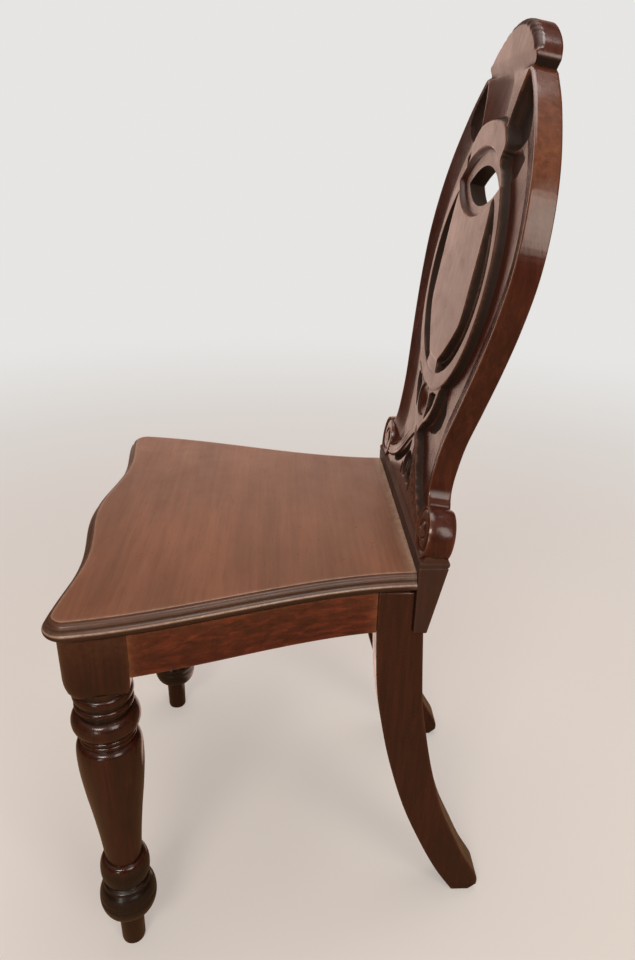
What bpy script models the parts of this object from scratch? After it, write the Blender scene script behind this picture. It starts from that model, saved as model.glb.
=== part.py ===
"""A Victorian mahogany hall chair: solid seat, turned front legs, sabre rear legs, carved balloon back.

Metres, +Z up. The chair stands on Z = 0 and faces -Y; the sitter's left is +X.
The origin is on the floor under the centre of the chair's bounding box.
"""

import math

import bmesh
import bpy
from mathutils import Matrix, Vector
from mathutils.geometry import interpolate_bezier

# Driving dimensions of the whole chair
overall_width = 0.450
overall_depth = 0.440
seat_height = 0.440
back_height = 0.470
seat_depth = 0.3367
seat_rear_width = 0.300
seat_thickness = 0.0205
back_width = 0.3386
back_rake_degrees = 9.62
plank_thickness = 0.0222

# Fits between pieces, and how far a cutter runs past the face it opens
fit_gap = 0.0003
overrun = 0.006
join_lap = 0.003

# Seat: plan shape and edge moulding
serpentine_depth = 0.0115
serpentine_wave = 0.220
serpentine_sweep = 0.005
seat_corner_radius = 0.021
side_slope_shares = (0.10, 0.23)
moulding_width = 0.009
quirk_depth = 0.0015
bead_radius = 0.0045
bead_drop = 0.0120

# Frame: rails and their tenons
rail_inset = 0.008
rail_height = 0.0458
rail_thickness = 0.022
tenon_thickness = 0.010
tenon_length = 0.018
tenon_shoulder = 0.008

# Front legs
front_leg_inset = 0.038
front_leg_setback = 0.0437
front_block_width = 0.062
front_block_height = 0.066
front_block_radius = 0.018
front_turning_radius = 0.0322

# Rear legs
rear_leg_thickness = 0.034
rear_leg_depth = 0.0354
rear_leg_round = 0.002

# Back: foot, ears and carving depths
foot_drop = 0.0645
foot_rise = 0.0145
foot_slope_height = 0.0060
foot_rear_reach = 0.0288
foot_bottom_thickness = 0.0125
ear_radius = 0.0260
ear_inset = 0.0225
ear_rise = 0.0355
ear_proud = 0.0022
neck_flare_width = 0.0115
neck_flare_height = 0.0190
crest_roll = 0.0060
arris_width = 0.0015
cove_width = 0.030
ground_depth = 0.0048
roundel_width = 0.228
roundel_height = 0.230
roundel_centre_rise = 0.2550
roundel_band = 0.0128
roundel_proud = 0.0012
crescent_depth = 0.0055
lens_length = 0.150
lens_width = 0.060
hand_hole_length = 0.108
hand_hole_width = 0.036
hand_hole_rise = 0.3355
lens_depth = 0.0044
strap_flute_depth = 0.0045
pocket_depth = 0.0095
scroll_width = 0.012
scroll_proud = 0.0010

# Corner blocks and screws
corner_block_reach = 0.042
corner_block_height = 0.024
corner_block_drop = 0.006
screw_head_radius = 0.0042
screw_head_height = 0.0030
screw_shank_radius = 0.0021
block_screw_length = 0.030
seat_screw_length = 0.033
seat_screw_counterbore = 0.021
back_screw_length = 0.032
screw_recess = 0.0008
turned_sides = 18
screw_sides = 8

# Levels and lines that several pieces share
seat_front_y = -overall_depth / 2
seat_rear_y = seat_front_y + seat_depth
seat_under = seat_height - seat_thickness
rail_top = seat_under - fit_gap
rail_bottom = rail_top - rail_height
front_leg_x = overall_width / 2 - front_leg_inset
front_leg_y = seat_front_y + front_leg_setback
block_inner_x = front_leg_x - front_block_width / 2
block_inner_y = front_leg_y + front_block_width / 2
block_bottom = rail_top - front_block_height
rear_leg_front_y = seat_rear_y - rear_leg_depth
rake = math.radians(back_rake_degrees)
back_length = back_height / math.cos(rake)
foot_bottom = seat_height - foot_drop
foot_top = seat_height + foot_rise
ear_x = seat_rear_width / 2 - ear_inset

for leftover in list(bpy.data.objects):
    bpy.data.objects.remove(leftover, do_unlink=True)


def mahogany(name, colour, roughness):
    """French-polished mahogany of one tone."""
    material = bpy.data.materials.new(name)
    material.use_nodes = True
    shader = material.node_tree.nodes["Principled BSDF"]
    shader.inputs["Base Color"].default_value = (*colour, 1.0)
    shader.inputs["Roughness"].default_value = roughness
    shader.inputs["Metallic"].default_value = 0.0
    return material


def steel(name, roughness):
    material = mahogany(name, (0.32, 0.31, 0.30), roughness)
    material.node_tree.nodes["Principled BSDF"].inputs["Metallic"].default_value = 1.0
    return material


def finish(bm, name, material, smooth_angle=35.0):
    """Turns a closed bmesh into an object with outward faces."""
    bmesh.ops.recalc_face_normals(bm, faces=bm.faces[:])
    mesh = bpy.data.meshes.new(name)
    bm.to_mesh(mesh)
    bm.free()
    mesh.shade_smooth()
    mesh.set_sharp_from_angle(angle=math.radians(smooth_angle))
    obj = bpy.data.objects.new(name, mesh)
    bpy.context.scene.collection.objects.link(obj)
    if material is None:
        obj.hide_render = True
        obj.display_type = "WIRE"
    else:
        mesh.materials.append(material)
    return obj


def loft(name, rings, material=None):
    """A closed solid through rings with equal counts of points, with a flat face at each end."""
    bm = bmesh.new()
    loops = [[bm.verts.new(point) for point in ring] for ring in rings]
    for low, high in zip(loops, loops[1:]):
        for i in range(len(low)):
            j = (i + 1) % len(low)
            bm.faces.new((low[i], low[j], high[j], high[i]))
    bm.faces.new(loops[0])
    bm.faces.new(loops[-1])
    return finish(bm, name, material)


def slab(name, plan, low, high, material=None):
    """A level board cut to a plan of (x, y) points."""
    return loft(name, [[(x, y, z) for x, y in plan] for z in (low, high)], material)


def box(name, low, high):
    """A helper block between two corners."""
    plan = [(low[0], low[1]), (high[0], low[1]), (high[0], high[1]), (low[0], high[1])]
    return slab(name, plan, low[2], high[2])


def turned(name, profile, sides, material=None):
    """A solid of revolution about Z through (height, radius) points; its end faces are flat."""
    rings = []
    for height, radius in profile:
        turn = [2 * math.pi * k / sides for k in range(sides)]
        rings.append([(radius * math.cos(a), radius * math.sin(a), height) for a in turn])
    return loft(name, rings, material)


def boolean(target, helper, operation):
    modifier = target.modifiers.new(f"{operation.lower()}_{helper.name}", "BOOLEAN")
    modifier.operation = operation
    modifier.solver = "EXACT"
    modifier.object = helper


def cut(target, helper):
    boolean(target, helper, "DIFFERENCE")


def join(target, helper):
    boolean(target, helper, "UNION")


def apply_modifiers(obj):
    """Makes the object's modifiers part of its own mesh."""
    graph = bpy.context.evaluated_depsgraph_get()
    mesh = bpy.data.meshes.new_from_object(obj.evaluated_get(graph))
    obj.modifiers.clear()
    obj.data = mesh


def mirrored(plan):
    """The same (x, y) outline on the other side of the chair."""
    return [(-x, y) for x, y in reversed(plan)]


def smooth_line(points, steps):
    """A smooth curve through the points, with the given steps between each pair."""
    padded = [points[0], *points, points[-1]]
    line = []
    for before, start, stop, after in zip(padded, padded[1:], padded[2:], padded[3:]):
        a, b, c, d = (Vector(p) for p in (before, start, stop, after))
        line += interpolate_bezier(b, b + (c - a) / 6, c - (d - b) / 6, c, steps + 1)[:-1]
    return [tuple(p) for p in line] + [tuple(points[-1])]


show_wood = mahogany("polished_mahogany", (0.115, 0.036, 0.018), 0.28)
seat_wood = mahogany("seat_mahogany", (0.165, 0.068, 0.040), 0.34)
leg_wood = mahogany("turned_mahogany", (0.072, 0.021, 0.012), 0.24)
frame_wood = mahogany("frame_mahogany", (0.130, 0.040, 0.020), 0.40)
block_wood = mahogany("block_pine", (0.42, 0.27, 0.14), 0.65)
screw_steel = steel("screw_steel", 0.45)


# Seat outline: concave sides and a serpentine front
def side_rise(t):
    """How far the side has spread, from 0 at the back edge to 1 at the front corner."""
    start, stop = side_slope_shares
    return start * (t**3 - 2 * t**2 + t) + (3 * t**2 - 2 * t**3) + stop * (t**3 - t**2)


def seat_front(x):
    wave = serpentine_depth * (1 - math.cos(2 * math.pi * x / serpentine_wave)) / 2
    return seat_front_y + wave + serpentine_sweep * (2 * x / overall_width) ** 2


corner_y = seat_front(overall_width / 2) + seat_corner_radius
corner_rise = side_rise((seat_rear_y - corner_y) / seat_depth)
seat_flare = (overall_width - seat_rear_width) / 2 / corner_rise


def seat_side(y):
    return seat_rear_width / 2 + seat_flare * side_rise((seat_rear_y - y) / seat_depth)


def rail_front(x):
    """The line that the front rail's outer face and the leg blocks' front faces follow."""
    return seat_front(x) + rail_inset


def rail_side(y):
    return seat_side(y) - rail_inset


def slope(curve, at):
    step = overall_width / 100
    return (curve(at + step) - curve(at - step)) / (2 * step)


def corner_arc(side, front, radius, steps):
    """A round corner from the front line y = front(x) to the side line x = side(y)."""
    x, y = side(seat_front_y) - radius, front(side(seat_front_y)) + radius
    for _ in range(12):
        lean = math.atan(slope(side, y))
        sweep = math.atan(slope(front, x))
        x = side(y) - radius / math.cos(lean)
        y = front(x) + radius / math.cos(sweep)
    start, stop = sweep - math.pi / 2, -lean
    turn = [start + (stop - start) * k / steps for k in range(steps + 1)]
    return [(x + radius * math.cos(a), y + radius * math.sin(a)) for a in turn]


def spread(start, stop, steps):
    """Evenly spaced values from start to stop, both included."""
    return [start + (stop - start) * k / steps for k in range(steps + 1)]


def half_outline(side, front, radius, from_x, to_y, steps):
    """The outline from the front at from_x, round the corner, to the side at to_y."""
    arc = corner_arc(side, front, radius, 5)
    ahead = [(x, front(x)) for x in spread(from_x, arc[0][0], steps)][:-1]
    behind = [(side(y), y) for y in spread(arc[-1][1], to_y, steps)][1:]
    return ahead + arc + behind


seat_right = half_outline(seat_side, seat_front, seat_corner_radius, 0, seat_rear_y, 13)
seat_line = mirrored(seat_right)[:-1] + seat_right


def inset_line(line, inset):
    """The open outline moved inwards; its two ends slide along the straight back edge."""
    moved = []
    last = len(line) - 1
    for i, point in enumerate(line):
        along = Vector(line[min(i + 1, last)]) - Vector(line[max(i - 1, 0)])
        inward = Vector((-along.y, along.x)).normalized()
        if i in (0, last):
            moved.append((point[0] + inset / inward.x, point[1]))
        else:
            moved.append(tuple(Vector(point) + inward * inset))
    return moved


def edge_moulding():
    """(inset, drop) down the seat's edge: quirk, thumbnail, groove, half-round bead and cove."""
    thumb_inset = moulding_width - quirk_depth / 2
    thumb_drop = bead_drop - 1.25 * bead_radius
    section = [(moulding_width, 0), (moulding_width, quirk_depth)]
    for turn in (0, 40, 75):
        a = math.radians(turn)
        out = (thumb_inset - bead_radius * 0.9) * math.sin(a)
        fall = (thumb_drop - quirk_depth) * (1 - math.cos(a))
        section.append((thumb_inset - out, quirk_depth + fall))
    section.append((1.15 * bead_radius, bead_drop - bead_radius))
    for turn in (55, 20, -20, -60):
        a = math.radians(turn)
        section.append((bead_radius * (1 - math.cos(a)), bead_drop - bead_radius * math.sin(a)))
    section.append((1.2 * bead_radius, bead_drop + bead_radius))
    section.append((rail_inset, seat_thickness))
    return section


def build_seat():
    """The seat board: its moulding runs round the sides and front and stops at the back edge."""
    bm = bmesh.new()
    rings = []
    for inset, drop in edge_moulding():
        level = seat_height - drop
        rings.append([bm.verts.new((x, y, level)) for x, y in inset_line(seat_line, inset)])
    for upper, lower in zip(rings, rings[1:]):
        for i in range(len(upper) - 1):
            bm.faces.new((upper[i], lower[i], lower[i + 1], upper[i + 1]))
    bm.faces.new(rings[0])
    bm.faces.new(reversed(rings[-1]))
    bm.faces.new([ring[0] for ring in rings] + [ring[-1] for ring in reversed(rings)])
    return finish(bm, "seat_board", seat_wood)


seat_board = build_seat()

# Front legs: a square block that follows the rails' line, turned below
# Each moulding is (centre, half height, base radius, peak radius): heights as shares of the
# turned length, radii as shares of the greatest radius
upper_bead_shares = (
    (0.9775, 0.0150, 0.80, 0.87),
    (0.9440, 0.0085, 0.80, 0.855),
    (0.8900, 0.0297, 0.80, 1.00),
    (0.8465, 0.0062, 0.795, 0.835),
    (0.8330, 0.0062, 0.795, 0.835),
)
vase_shares = (
    (0.824, 0.79), (0.817, 0.88), (0.806, 0.945), (0.779, 0.975), (0.720, 0.96), (0.634, 0.87),
    (0.555, 0.76), (0.463, 0.652), (0.368, 0.578), (0.357, 0.575),
)
lower_bead_shares = ((0.3215, 0.0467, 0.62, 0.785),)
bulb_shares = (
    (0.272, 0.660), (0.269, 0.725), (0.263, 0.735), (0.260, 0.72), (0.246, 0.845), (0.2265, 0.900),
    (0.204, 0.922), (0.1855, 0.905), (0.170, 0.858), (0.1555, 0.780), (0.144, 0.665),
    (0.1365, 0.530), (0.133, 0.425),
)
peg_shares = ((0.131, 0.405), (0.008, 0.388), (0.0, 0.345))


def bead_points(centre, half, base, peak, steps=4):
    """A half-round moulding as (height, radius) points from top to bottom."""
    turn = spread(math.pi / 2, -math.pi / 2, steps)
    return [(centre + half * math.sin(a), base + (peak - base) * math.cos(a)) for a in turn]


def leg_profile():
    """(height, radius) down the turning, from just inside the block to the floor."""
    shares = [(1 + upper_bead_shares[0][1], upper_bead_shares[0][2])]
    for bead in upper_bead_shares:
        shares += bead_points(*bead)
    shares += vase_shares
    for bead in lower_bead_shares:
        shares += bead_points(*bead, steps=6)
    shares += bulb_shares + peg_shares
    profile = [(h * block_bottom, r * front_turning_radius) for h, r in shares]
    return [(0, profile[-1][1])] + [point for point in reversed(profile) if point[0] > 0]


def block_plan():
    """The leg block's plan: two faces on the rails' line and two square inner faces."""
    line = half_outline(
        rail_side, rail_front, front_block_radius, block_inner_x, block_inner_y, 3
    )
    return line + [(block_inner_x, block_inner_y)]


def toward(plan, centre, share):
    """The plan drawn in towards its centre by a share of its size."""
    cx, cy = centre
    return [(cx + (x - cx) * share, cy + (y - cy) * share) for x, y in plan]


def build_front_leg(side):
    plan = block_plan()
    centre = (front_leg_x, front_leg_y)
    steps = ((0.00, 0.86), (0.10, 0.955), (0.28, 1.0), (1.0, 1.0))
    rings = []
    for rise, size in steps:
        level = block_bottom + rise * front_block_height
        ring = toward(plan, centre, size)
        rings.append([(side * x, y, level) for x, y in ring])
    name = "front_leg_left" if side > 0 else "front_leg_right"
    leg = loft(name, rings, leg_wood)
    turning = turned(f"{name}_turning", leg_profile(), turned_sides)
    turning.location = (side * front_leg_x, front_leg_y, 0)
    join(leg, turning)
    return leg


front_legs = {side: build_front_leg(side) for side in (1, -1)}

# Rear legs: sabre-swept, cut back above a shoulder to seat the back's foot
# Points are (reach, height) as shares of the leg's sweep and of the shoulder's height
sabre_front_shares = (
    (0.0, 1.0), (0.026, 0.828), (0.072, 0.707), (0.163, 0.546), (0.306, 0.365),
    (0.480, 0.207), (0.634, 0.090), (0.786, 0.0),
)
sabre_rear_shares = (
    (0.935, 0.0), (1.0, 0.022), (0.988, 0.060), (0.860, 0.146), (0.759, 0.230), (0.624, 0.350),
    (0.512, 0.501), (0.435, 0.639), (0.380, 0.766), (0.335, 1.0),
)
rear_leg_outer_x = rail_side(rear_leg_front_y)
rear_leg_inner_x = rear_leg_outer_x - rear_leg_thickness
rear_leg_sweep = overall_depth / 2 - rear_leg_front_y
shoulder_height = foot_bottom


def build_rear_leg(side):
    name = "rear_leg_left" if side > 0 else "rear_leg_right"

    def place(share):
        reach, height = share
        return (rear_leg_front_y + reach * rear_leg_sweep, height * shoulder_height)

    front = smooth_line([place(s) for s in sabre_front_shares], 2)
    rear = [place(sabre_rear_shares[0]), place(sabre_rear_shares[1])]
    rear += smooth_line([place(s) for s in sabre_rear_shares[2:]], 2)
    outline = front + rear + [(rear[-1][0], rail_top), (rear_leg_front_y, rail_top)]
    rings = [
        [(side * x, y, z) for y, z in outline] for x in (rear_leg_inner_x, rear_leg_outer_x)
    ]
    leg = loft(name, rings, leg_wood)
    bevel = leg.modifiers.new("eased_edges", "BEVEL")
    bevel.width = rear_leg_round
    bevel.segments = 1
    bevel.limit_method = "ANGLE"
    bevel.angle_limit = math.radians(60)
    xs = sorted((side * (rear_leg_inner_x - overrun), side * (rear_leg_outer_x + overrun)))
    seat_for_foot = box(
        f"{name}_shoulder", (xs[0], seat_rear_y, shoulder_height),
        (xs[1], overall_depth / 2, rail_top + overrun),
    )
    cut(leg, seat_for_foot)
    return leg


rear_legs = {side: build_rear_leg(side) for side in (1, -1)}

# Rails: shaped to the seat's line, tenoned into the legs
tenon_low = rail_bottom + tenon_shoulder
tenon_high = rail_top - tenon_shoulder


def tenon(rail, leg, low, high):
    """Joins a tenon to the rail and cuts its mortise, with clearance, in the leg."""
    tongue = box(f"{rail.name}_tenon_{leg.name}", (*low, tenon_low), (*high, tenon_high))
    join(rail, tongue)
    wide_low = (low[0] - fit_gap, low[1] - fit_gap, tenon_low - fit_gap)
    wide_high = (high[0] + fit_gap, high[1] + fit_gap, tenon_high + fit_gap)
    cut(leg, box(f"{leg.name}_mortise_{rail.name}", wide_low, wide_high))


def build_front_rail():
    end = block_inner_x - fit_gap
    xs = spread(-end, end, 24)
    outer = [(x, rail_front(x)) for x in xs]
    inner = [(x, y + rail_thickness) for x, y in reversed(outer)]
    rail = slab("front_rail", outer + inner, rail_bottom, rail_top, frame_wood)
    middle = rail_front(block_inner_x) + rail_thickness / 2
    half = tenon_thickness / 2
    for side, leg in front_legs.items():
        ends = sorted((side * (end - join_lap), side * (end + tenon_length)))
        tenon(rail, leg, (ends[0], middle - half), (ends[1], middle + half))
    return rail


def build_side_rail(side):
    start, stop = block_inner_y + fit_gap, rear_leg_front_y - fit_gap
    ys = spread(start, stop, 14)
    outer = [(side * rail_side(y), y) for y in ys]
    inner = [(side * (rail_side(y) - rail_thickness), y) for y in reversed(ys)]
    name = "side_rail_left" if side > 0 else "side_rail_right"
    rail = slab(name, outer + inner, rail_bottom, rail_top, frame_wood)
    half = tenon_thickness / 2
    front_x = side * (rail_side(start) - rail_thickness / 2)
    rear_x = side * (rail_side(stop) - rail_thickness / 2)
    tenon(
        rail, front_legs[side],
        (front_x - half, start - tenon_length), (front_x + half, start + join_lap),
    )
    tenon(
        rail, rear_legs[side],
        (rear_x - half, stop - join_lap), (rear_x + half, stop + tenon_length - join_lap),
    )
    return rail


def build_back_rail():
    end = rear_leg_inner_x - fit_gap
    front, rear = seat_rear_y - rail_thickness, seat_rear_y
    plan = [(-end, front), (end, front), (end, rear), (-end, rear)]
    rail = slab("back_rail", plan, rail_bottom, rail_top, frame_wood)
    middle = rear - rail_thickness / 2 + join_lap
    half = tenon_thickness / 2
    for side, leg in rear_legs.items():
        ends = sorted((side * (end - join_lap), side * (end + tenon_length - join_lap)))
        tenon(rail, leg, (ends[0], middle - half), (ends[1], middle + half))
    return rail


front_rail = build_front_rail()
side_rails = {side: build_side_rail(side) for side in (1, -1)}
back_rail = build_back_rail()

# Back: the plank is carved lying in its own frame, whose origin is on its front face at seat
# level, with x across, y into the wood and z up the plank; the carved back is then raked
back_frame = Matrix.Translation((0, seat_rear_y + fit_gap, seat_height))
back_frame @= Matrix.Rotation(-rake, 4, "X")


def up(rise):
    """Distance up the plank for a rise above the seat."""
    return rise / math.cos(rake)


# Half of the plank's outline as (half width, length) shares of the back's half width and length
balloon_shares = (
    (0.640, 0.014), (0.628, 0.128), (0.629, 0.192), (0.663, 0.255), (0.774, 0.340), (0.882, 0.426),
    (0.964, 0.511), (1.000, 0.596), (0.9545, 0.681), (0.833, 0.766), (0.6255, 0.851),
    (0.464, 0.894),
)
nick_share = (0.402, 0.907)
crest_shares = (
    (0.425, 0.919), (0.396, 0.936), (0.331, 0.956), (0.219, 0.980), (0.077, 0.996), (0.0, 1.0),
)


def on_back(share):
    """A (width, length) share as a place on the plank's front face."""
    return (share[0] * back_width / 2, share[1] * back_length)


def relief(name, outline, front, rear, drafted=1.0):
    """A prism through the plank's face from an (x, z) outline, between two depths."""
    cx = sum(x for x, _ in outline) / len(outline)
    cz = sum(z for _, z in outline) / len(outline)
    back = toward(outline, (cx, cz), drafted)
    rings = [[(x, front, z) for x, z in outline], [(x, rear, z) for x, z in back]]
    return loft(name, rings)


def pair(outline):
    """An outline and its mirror image, with names for the two sides."""
    return (("left", outline), ("right", mirrored(outline)))


balloon_right = smooth_line([on_back(s) for s in balloon_shares], 3)
crest_right = smooth_line([on_back(s) for s in crest_shares], 2)
plank_right = balloon_right + [on_back(nick_share)] + crest_right
plank_outline = plank_right + mirrored(plank_right)[1:]


def build_plank():
    rings = [[(x, depth, z) for x, z in plank_outline] for depth in (0, plank_thickness)]
    return loft("back_panel", rings, show_wood)


back_panel = build_plank()


def add_foot():
    """The wedge foot: upright against the seat and rails, sloping in at the back."""
    face = seat_rear_y + fit_gap
    bottom = foot_bottom + fit_gap
    slope_top = foot_top + foot_slope_height

    def plank_y(height):
        return face + (height - seat_height) * math.tan(rake)

    thickness = plank_thickness / math.cos(rake)
    side = [
        (face, bottom),
        (face, foot_top),
        (plank_y(slope_top) + join_lap, slope_top),
        (plank_y(slope_top) + thickness - join_lap, slope_top),
        (face + foot_rear_reach, foot_top),
        (face + foot_bottom_thickness, bottom),
    ]
    to_plank = back_frame.inverted()
    half = seat_rear_width / 2
    rings = [[to_plank @ Vector((x, y, z)) for y, z in side] for x in (-half, half)]
    join(back_panel, loft("back_foot", rings))


def ear_profile():
    """(depth, radius) from the back of the ear to its carved eye, as turned about its axis."""
    rear = plank_thickness + ear_proud
    waist = 0.90 * ear_radius
    return [
        (rear, 0.80 * ear_radius),
        (0.88 * plank_thickness, waist),
        (0.50 * plank_thickness, ear_radius),
        (0.12 * plank_thickness, waist),
        (-0.30 * ear_proud, 0.80 * ear_radius),
        (-0.30 * ear_proud, 0.62 * ear_radius),
        (ear_proud, 0.46 * ear_radius),
        (ear_proud, 0.34 * ear_radius),
        (-ear_proud, 0.26 * ear_radius),
        (-ear_proud, 0.10 * ear_radius),
    ]


def add_ears():
    """Turned volutes, with their axes running through the plank."""
    for side, label in ((1, "left"), (-1, "right")):
        x, z = side * ear_x, up(ear_rise)
        rings = []
        for depth, radius in ear_profile():
            rings.append(ellipse(2 * radius, 2 * radius, (x, z), turned_sides)[:-1])
            rings[-1] = [(px, depth, pz) for px, pz in rings[-1]]
        join(back_panel, loft(f"ear_{label}", rings))


# The flare's hollow line from the neck down to the ear, as shares of its width and height
neck_flare_shares = ((0.0, 1.0), (0.10, 0.62), (0.40, 0.27), (1.0, 0.0))


def add_neck_flares():
    """The hollow sweep that spreads the neck on to the top of each ear."""
    neck, base = on_back(balloon_shares[1])[0], up(ear_rise + 0.92 * ear_radius)
    outline = [
        (neck + w * neck_flare_width, base + h * neck_flare_height) for w, h in neck_flare_shares
    ]
    low = base - ear_radius / 4
    outline += [(outline[-1][0], low), (neck - arris_width / 2, low)]
    outline.append((outline[-1][0], outline[0][1]))
    for label, side_outline in pair(outline):
        flare = relief(f"neck_flare_{label}", side_outline, fit_gap, plank_thickness - fit_gap)
        join(back_panel, flare)


def cove_depth(inset):
    """Depth of the hollow at a distance in from the outer arris."""
    share = min(inset / cove_width, 1)
    return ground_depth * (1 - (1 - share) ** 1.5)


def margin_stations():
    """Outline points that the hollow follows, each with the way inwards."""
    line = [point for point in balloon_right if point[1] > up(ear_rise + ear_radius / 2)]
    stations = []
    for i, point in enumerate(line):
        along = Vector(line[min(i + 1, len(line) - 1)]) - Vector(line[max(i - 1, 0)])
        stations.append((Vector(point), Vector((-along.y, along.x)).normalized()))
    return stations


# Where the strap meets the roundel, as a (width, length) share of the back
strap_foot_share = (0.278, 0.828)


def hollow_limit(point):
    """Where the sunk field ends, going in from a point of the outline."""
    middle = up(roundel_centre_rise)
    foot = Vector(on_back(strap_foot_share))
    if point.y <= middle:
        return Vector((-join_lap, point.y))
    if point.y <= foot.y:
        share = 1 - (point.y - middle) / (foot.y - middle) / 2
        return point.lerp(Vector((-join_lap, middle)), share)
    nick = Vector(on_back(nick_share))
    return foot.lerp(nick, 0.9 * (point.y - foot.y) / (nick.y - foot.y))


def add_margin_hollow():
    """The sunk field on each side: a hollow from the arris to the flat ground at the middle."""
    for side, label in ((1, "left"), (-1, "right")):
        rings = []
        for point, inward in margin_stations():
            inner = hollow_limit(point)
            width = min(cove_width, (inner - point).length * 0.7)
            start = point + inward * arris_width
            lip = start - inward * arris_width / 2
            ring = [(lip, -overrun), (lip, -arris_width / 4)]
            for share in (0.16, 0.36, 0.62, 1.0):
                ring.append((start + inward * width * share, cove_depth(cove_width * share)))
            ring += [(inner, ground_depth), (inner, -overrun)]
            rings.append([(side * p.x, depth, p.y) for p, depth in ring])
        cutter = loft(f"margin_hollow_{label}", rings)
        cut(back_panel, cutter)


def ellipse(width, height, centre, steps, start=0.0, stop=2 * math.pi):
    turn = spread(start, stop, steps)
    return [
        (centre[0] + width / 2 * math.sin(a), centre[1] + height / 2 * math.cos(a)) for a in turn
    ]


# The roundel's outline above the ring, as shares of its half width and half height from its
# centre: a cusp and a rounded shoulder on each side of the strap
shoulder_shares = (
    (0.50, 0.905), (0.535, 0.985), (0.515, 1.065), (0.44, 1.110), (0.23, 1.150), (0.0, 1.165),
)


def roundel_outline():
    """The ring's outer edge, with its shoulders and the arch that meets the strap."""
    centre = (0, up(roundel_centre_rise))
    gap = math.radians(32)
    ring = ellipse(roundel_width, roundel_height, centre, 40, gap, 2 * math.pi - gap)
    shoulder = [
        (x * roundel_width / 2, centre[1] + z * roundel_height / 2) for x, z in shoulder_shares
    ]
    return shoulder[::-1] + ring + mirrored(shoulder)[::-1][:-1]


def add_roundel():
    """The raised roundel with a sunk crescent each side of its plain middle panel."""
    outline = roundel_outline()
    centre = (0, up(roundel_centre_rise))
    levels = ((ground_depth + join_lap, 1.0), (0, 1.0), (-roundel_proud, 0.975))
    rings = []
    for depth, size in levels:
        rings.append([(x, depth, z) for x, z in toward(outline, centre, size)])
    join(back_panel, loft("roundel", rings))


# The middle panel's edge from top to bottom, as shares of the space inside the ring
panel_edge_shares = (
    (0.64, 0.74), (0.66, 0.60), (0.68, 0.46), (0.68, -0.33), (0.50, -0.60), (0.20, -0.88),
)


def crescent_outline():
    """The sunk crescent between the ring's inner edge and the middle panel."""
    centre = (0, up(roundel_centre_rise))
    inner_width = roundel_width - 2 * roundel_band
    inner_height = 0.83 * roundel_height
    start, stop = math.radians(41), math.radians(167)
    outer = ellipse(inner_width, inner_height, centre, 16, start, stop)
    edge = smooth_line(
        [(x * inner_width / 2, centre[1] + z * inner_height / 2) for x, z in panel_edge_shares], 2
    )
    return outer + edge[::-1]


def lens_outline(length, width, centre, steps):
    """A pointed leaf between two equal arcs."""
    rise = width / 2
    radius = ((length / 2) ** 2 + rise**2) / (2 * rise)
    half_turn = math.asin(length / 2 / radius)
    points = []
    for sign in (1, -1):
        for a in spread(-half_turn * sign, half_turn * sign, steps)[:-1]:
            z = sign * (radius * math.cos(a) - radius + rise)
            points.append((centre[0] + radius * math.sin(a), centre[1] + z))
    return points


def cut_hand_hole():
    """A leaf-shaped sinking with the pierced hand hole in it, opened wider at the back."""
    centre = (0, up(hand_hole_rise))
    sinking = lens_outline(lens_length, lens_width, centre, 10)
    cut(back_panel, relief("hole_sinking", sinking, -overrun, lens_depth, 0.97))
    hole = lens_outline(hand_hole_length, hand_hole_width, centre, 10)
    cut(back_panel, relief("hand_hole", hole, -overrun, plank_thickness + overrun))
    rings = []
    for depth, size in ((plank_thickness / 2, 0.94), (plank_thickness + overrun, 1.14)):
        rings.append([(x, depth, z) for x, z in toward(hole, centre, size)])
    cut(back_panel, loft("hand_hole_flare", rings))


def cut_strap_flute():
    """The hollow strap that joins the roundel to the crest, deepest along its middle."""
    low = up(roundel_centre_rise) + 0.46 * roundel_height
    high = 0.965 * back_length
    rings = []
    for t in spread(0, 1, 6):
        half = back_width / 2 * (0.235 + 0.155 * t)
        z = low + (high - low) * t
        depth = strap_flute_depth * min(1, 6 * (1 - t) + 0.05)
        ring = [(half, -overrun), (-half, -overrun)]
        ring += [(half * s, depth * (1 - s * s) - fit_gap) for s in spread(-1, 1, 6)]
        rings.append([(x, d, z) for x, d in ring])
    cut(back_panel, loft("strap_flute", rings))


def cut_crest_roll():
    """The crest's front upper edge, rolled back."""
    line = [on_back(s) for s in crest_shares[1:]]
    line = smooth_line(line, 2)
    full = line + mirrored(line)[1:]
    rings = []
    for i, point in enumerate(full):
        along = Vector(full[min(i + 1, len(full) - 1)]) - Vector(full[max(i - 1, 0)])
        inward = Vector((-along.y, along.x)).normalized()
        edge = Vector(point)
        outside = edge - inward * overrun
        deep = edge + inward * crest_roll
        middle = edge + inward * crest_roll * 0.35
        ring = [
            (outside, -overrun), (outside, crest_roll), (edge, crest_roll * 0.9),
            (middle, crest_roll * 0.38), (deep, 0), (deep + inward * join_lap, -overrun),
        ]
        rings.append([(p.x, depth, p.y) for p, depth in ring])
    cut(back_panel, loft("crest_roll", rings))


# Carved pockets as (width, length) shares of the back, one side of the chair
pocket_shares = {
    "strap_pocket": ((0.385, 0.893), (0.545, 0.868), (0.575, 0.845), (0.520, 0.806), (0.325, 0.822)),
    "shoulder_pocket": ((0.345, 0.772), (0.56, 0.795), (0.60, 0.770), (0.53, 0.735)),
    "stem_pocket": ((0.10, 0.222), (0.21, 0.246), (0.345, 0.268), (0.36, 0.300), (0.27, 0.325)),
    "scroll_slot": ((0.06, 0.163), (0.12, 0.135), (0.385, 0.072), (0.25, 0.070), (0.14, 0.100)),
    "seed_pocket": ((0.03, 0.128), (0.075, 0.118), (0.16, 0.082), (0.075, 0.078), (0.02, 0.100)),
}


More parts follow.
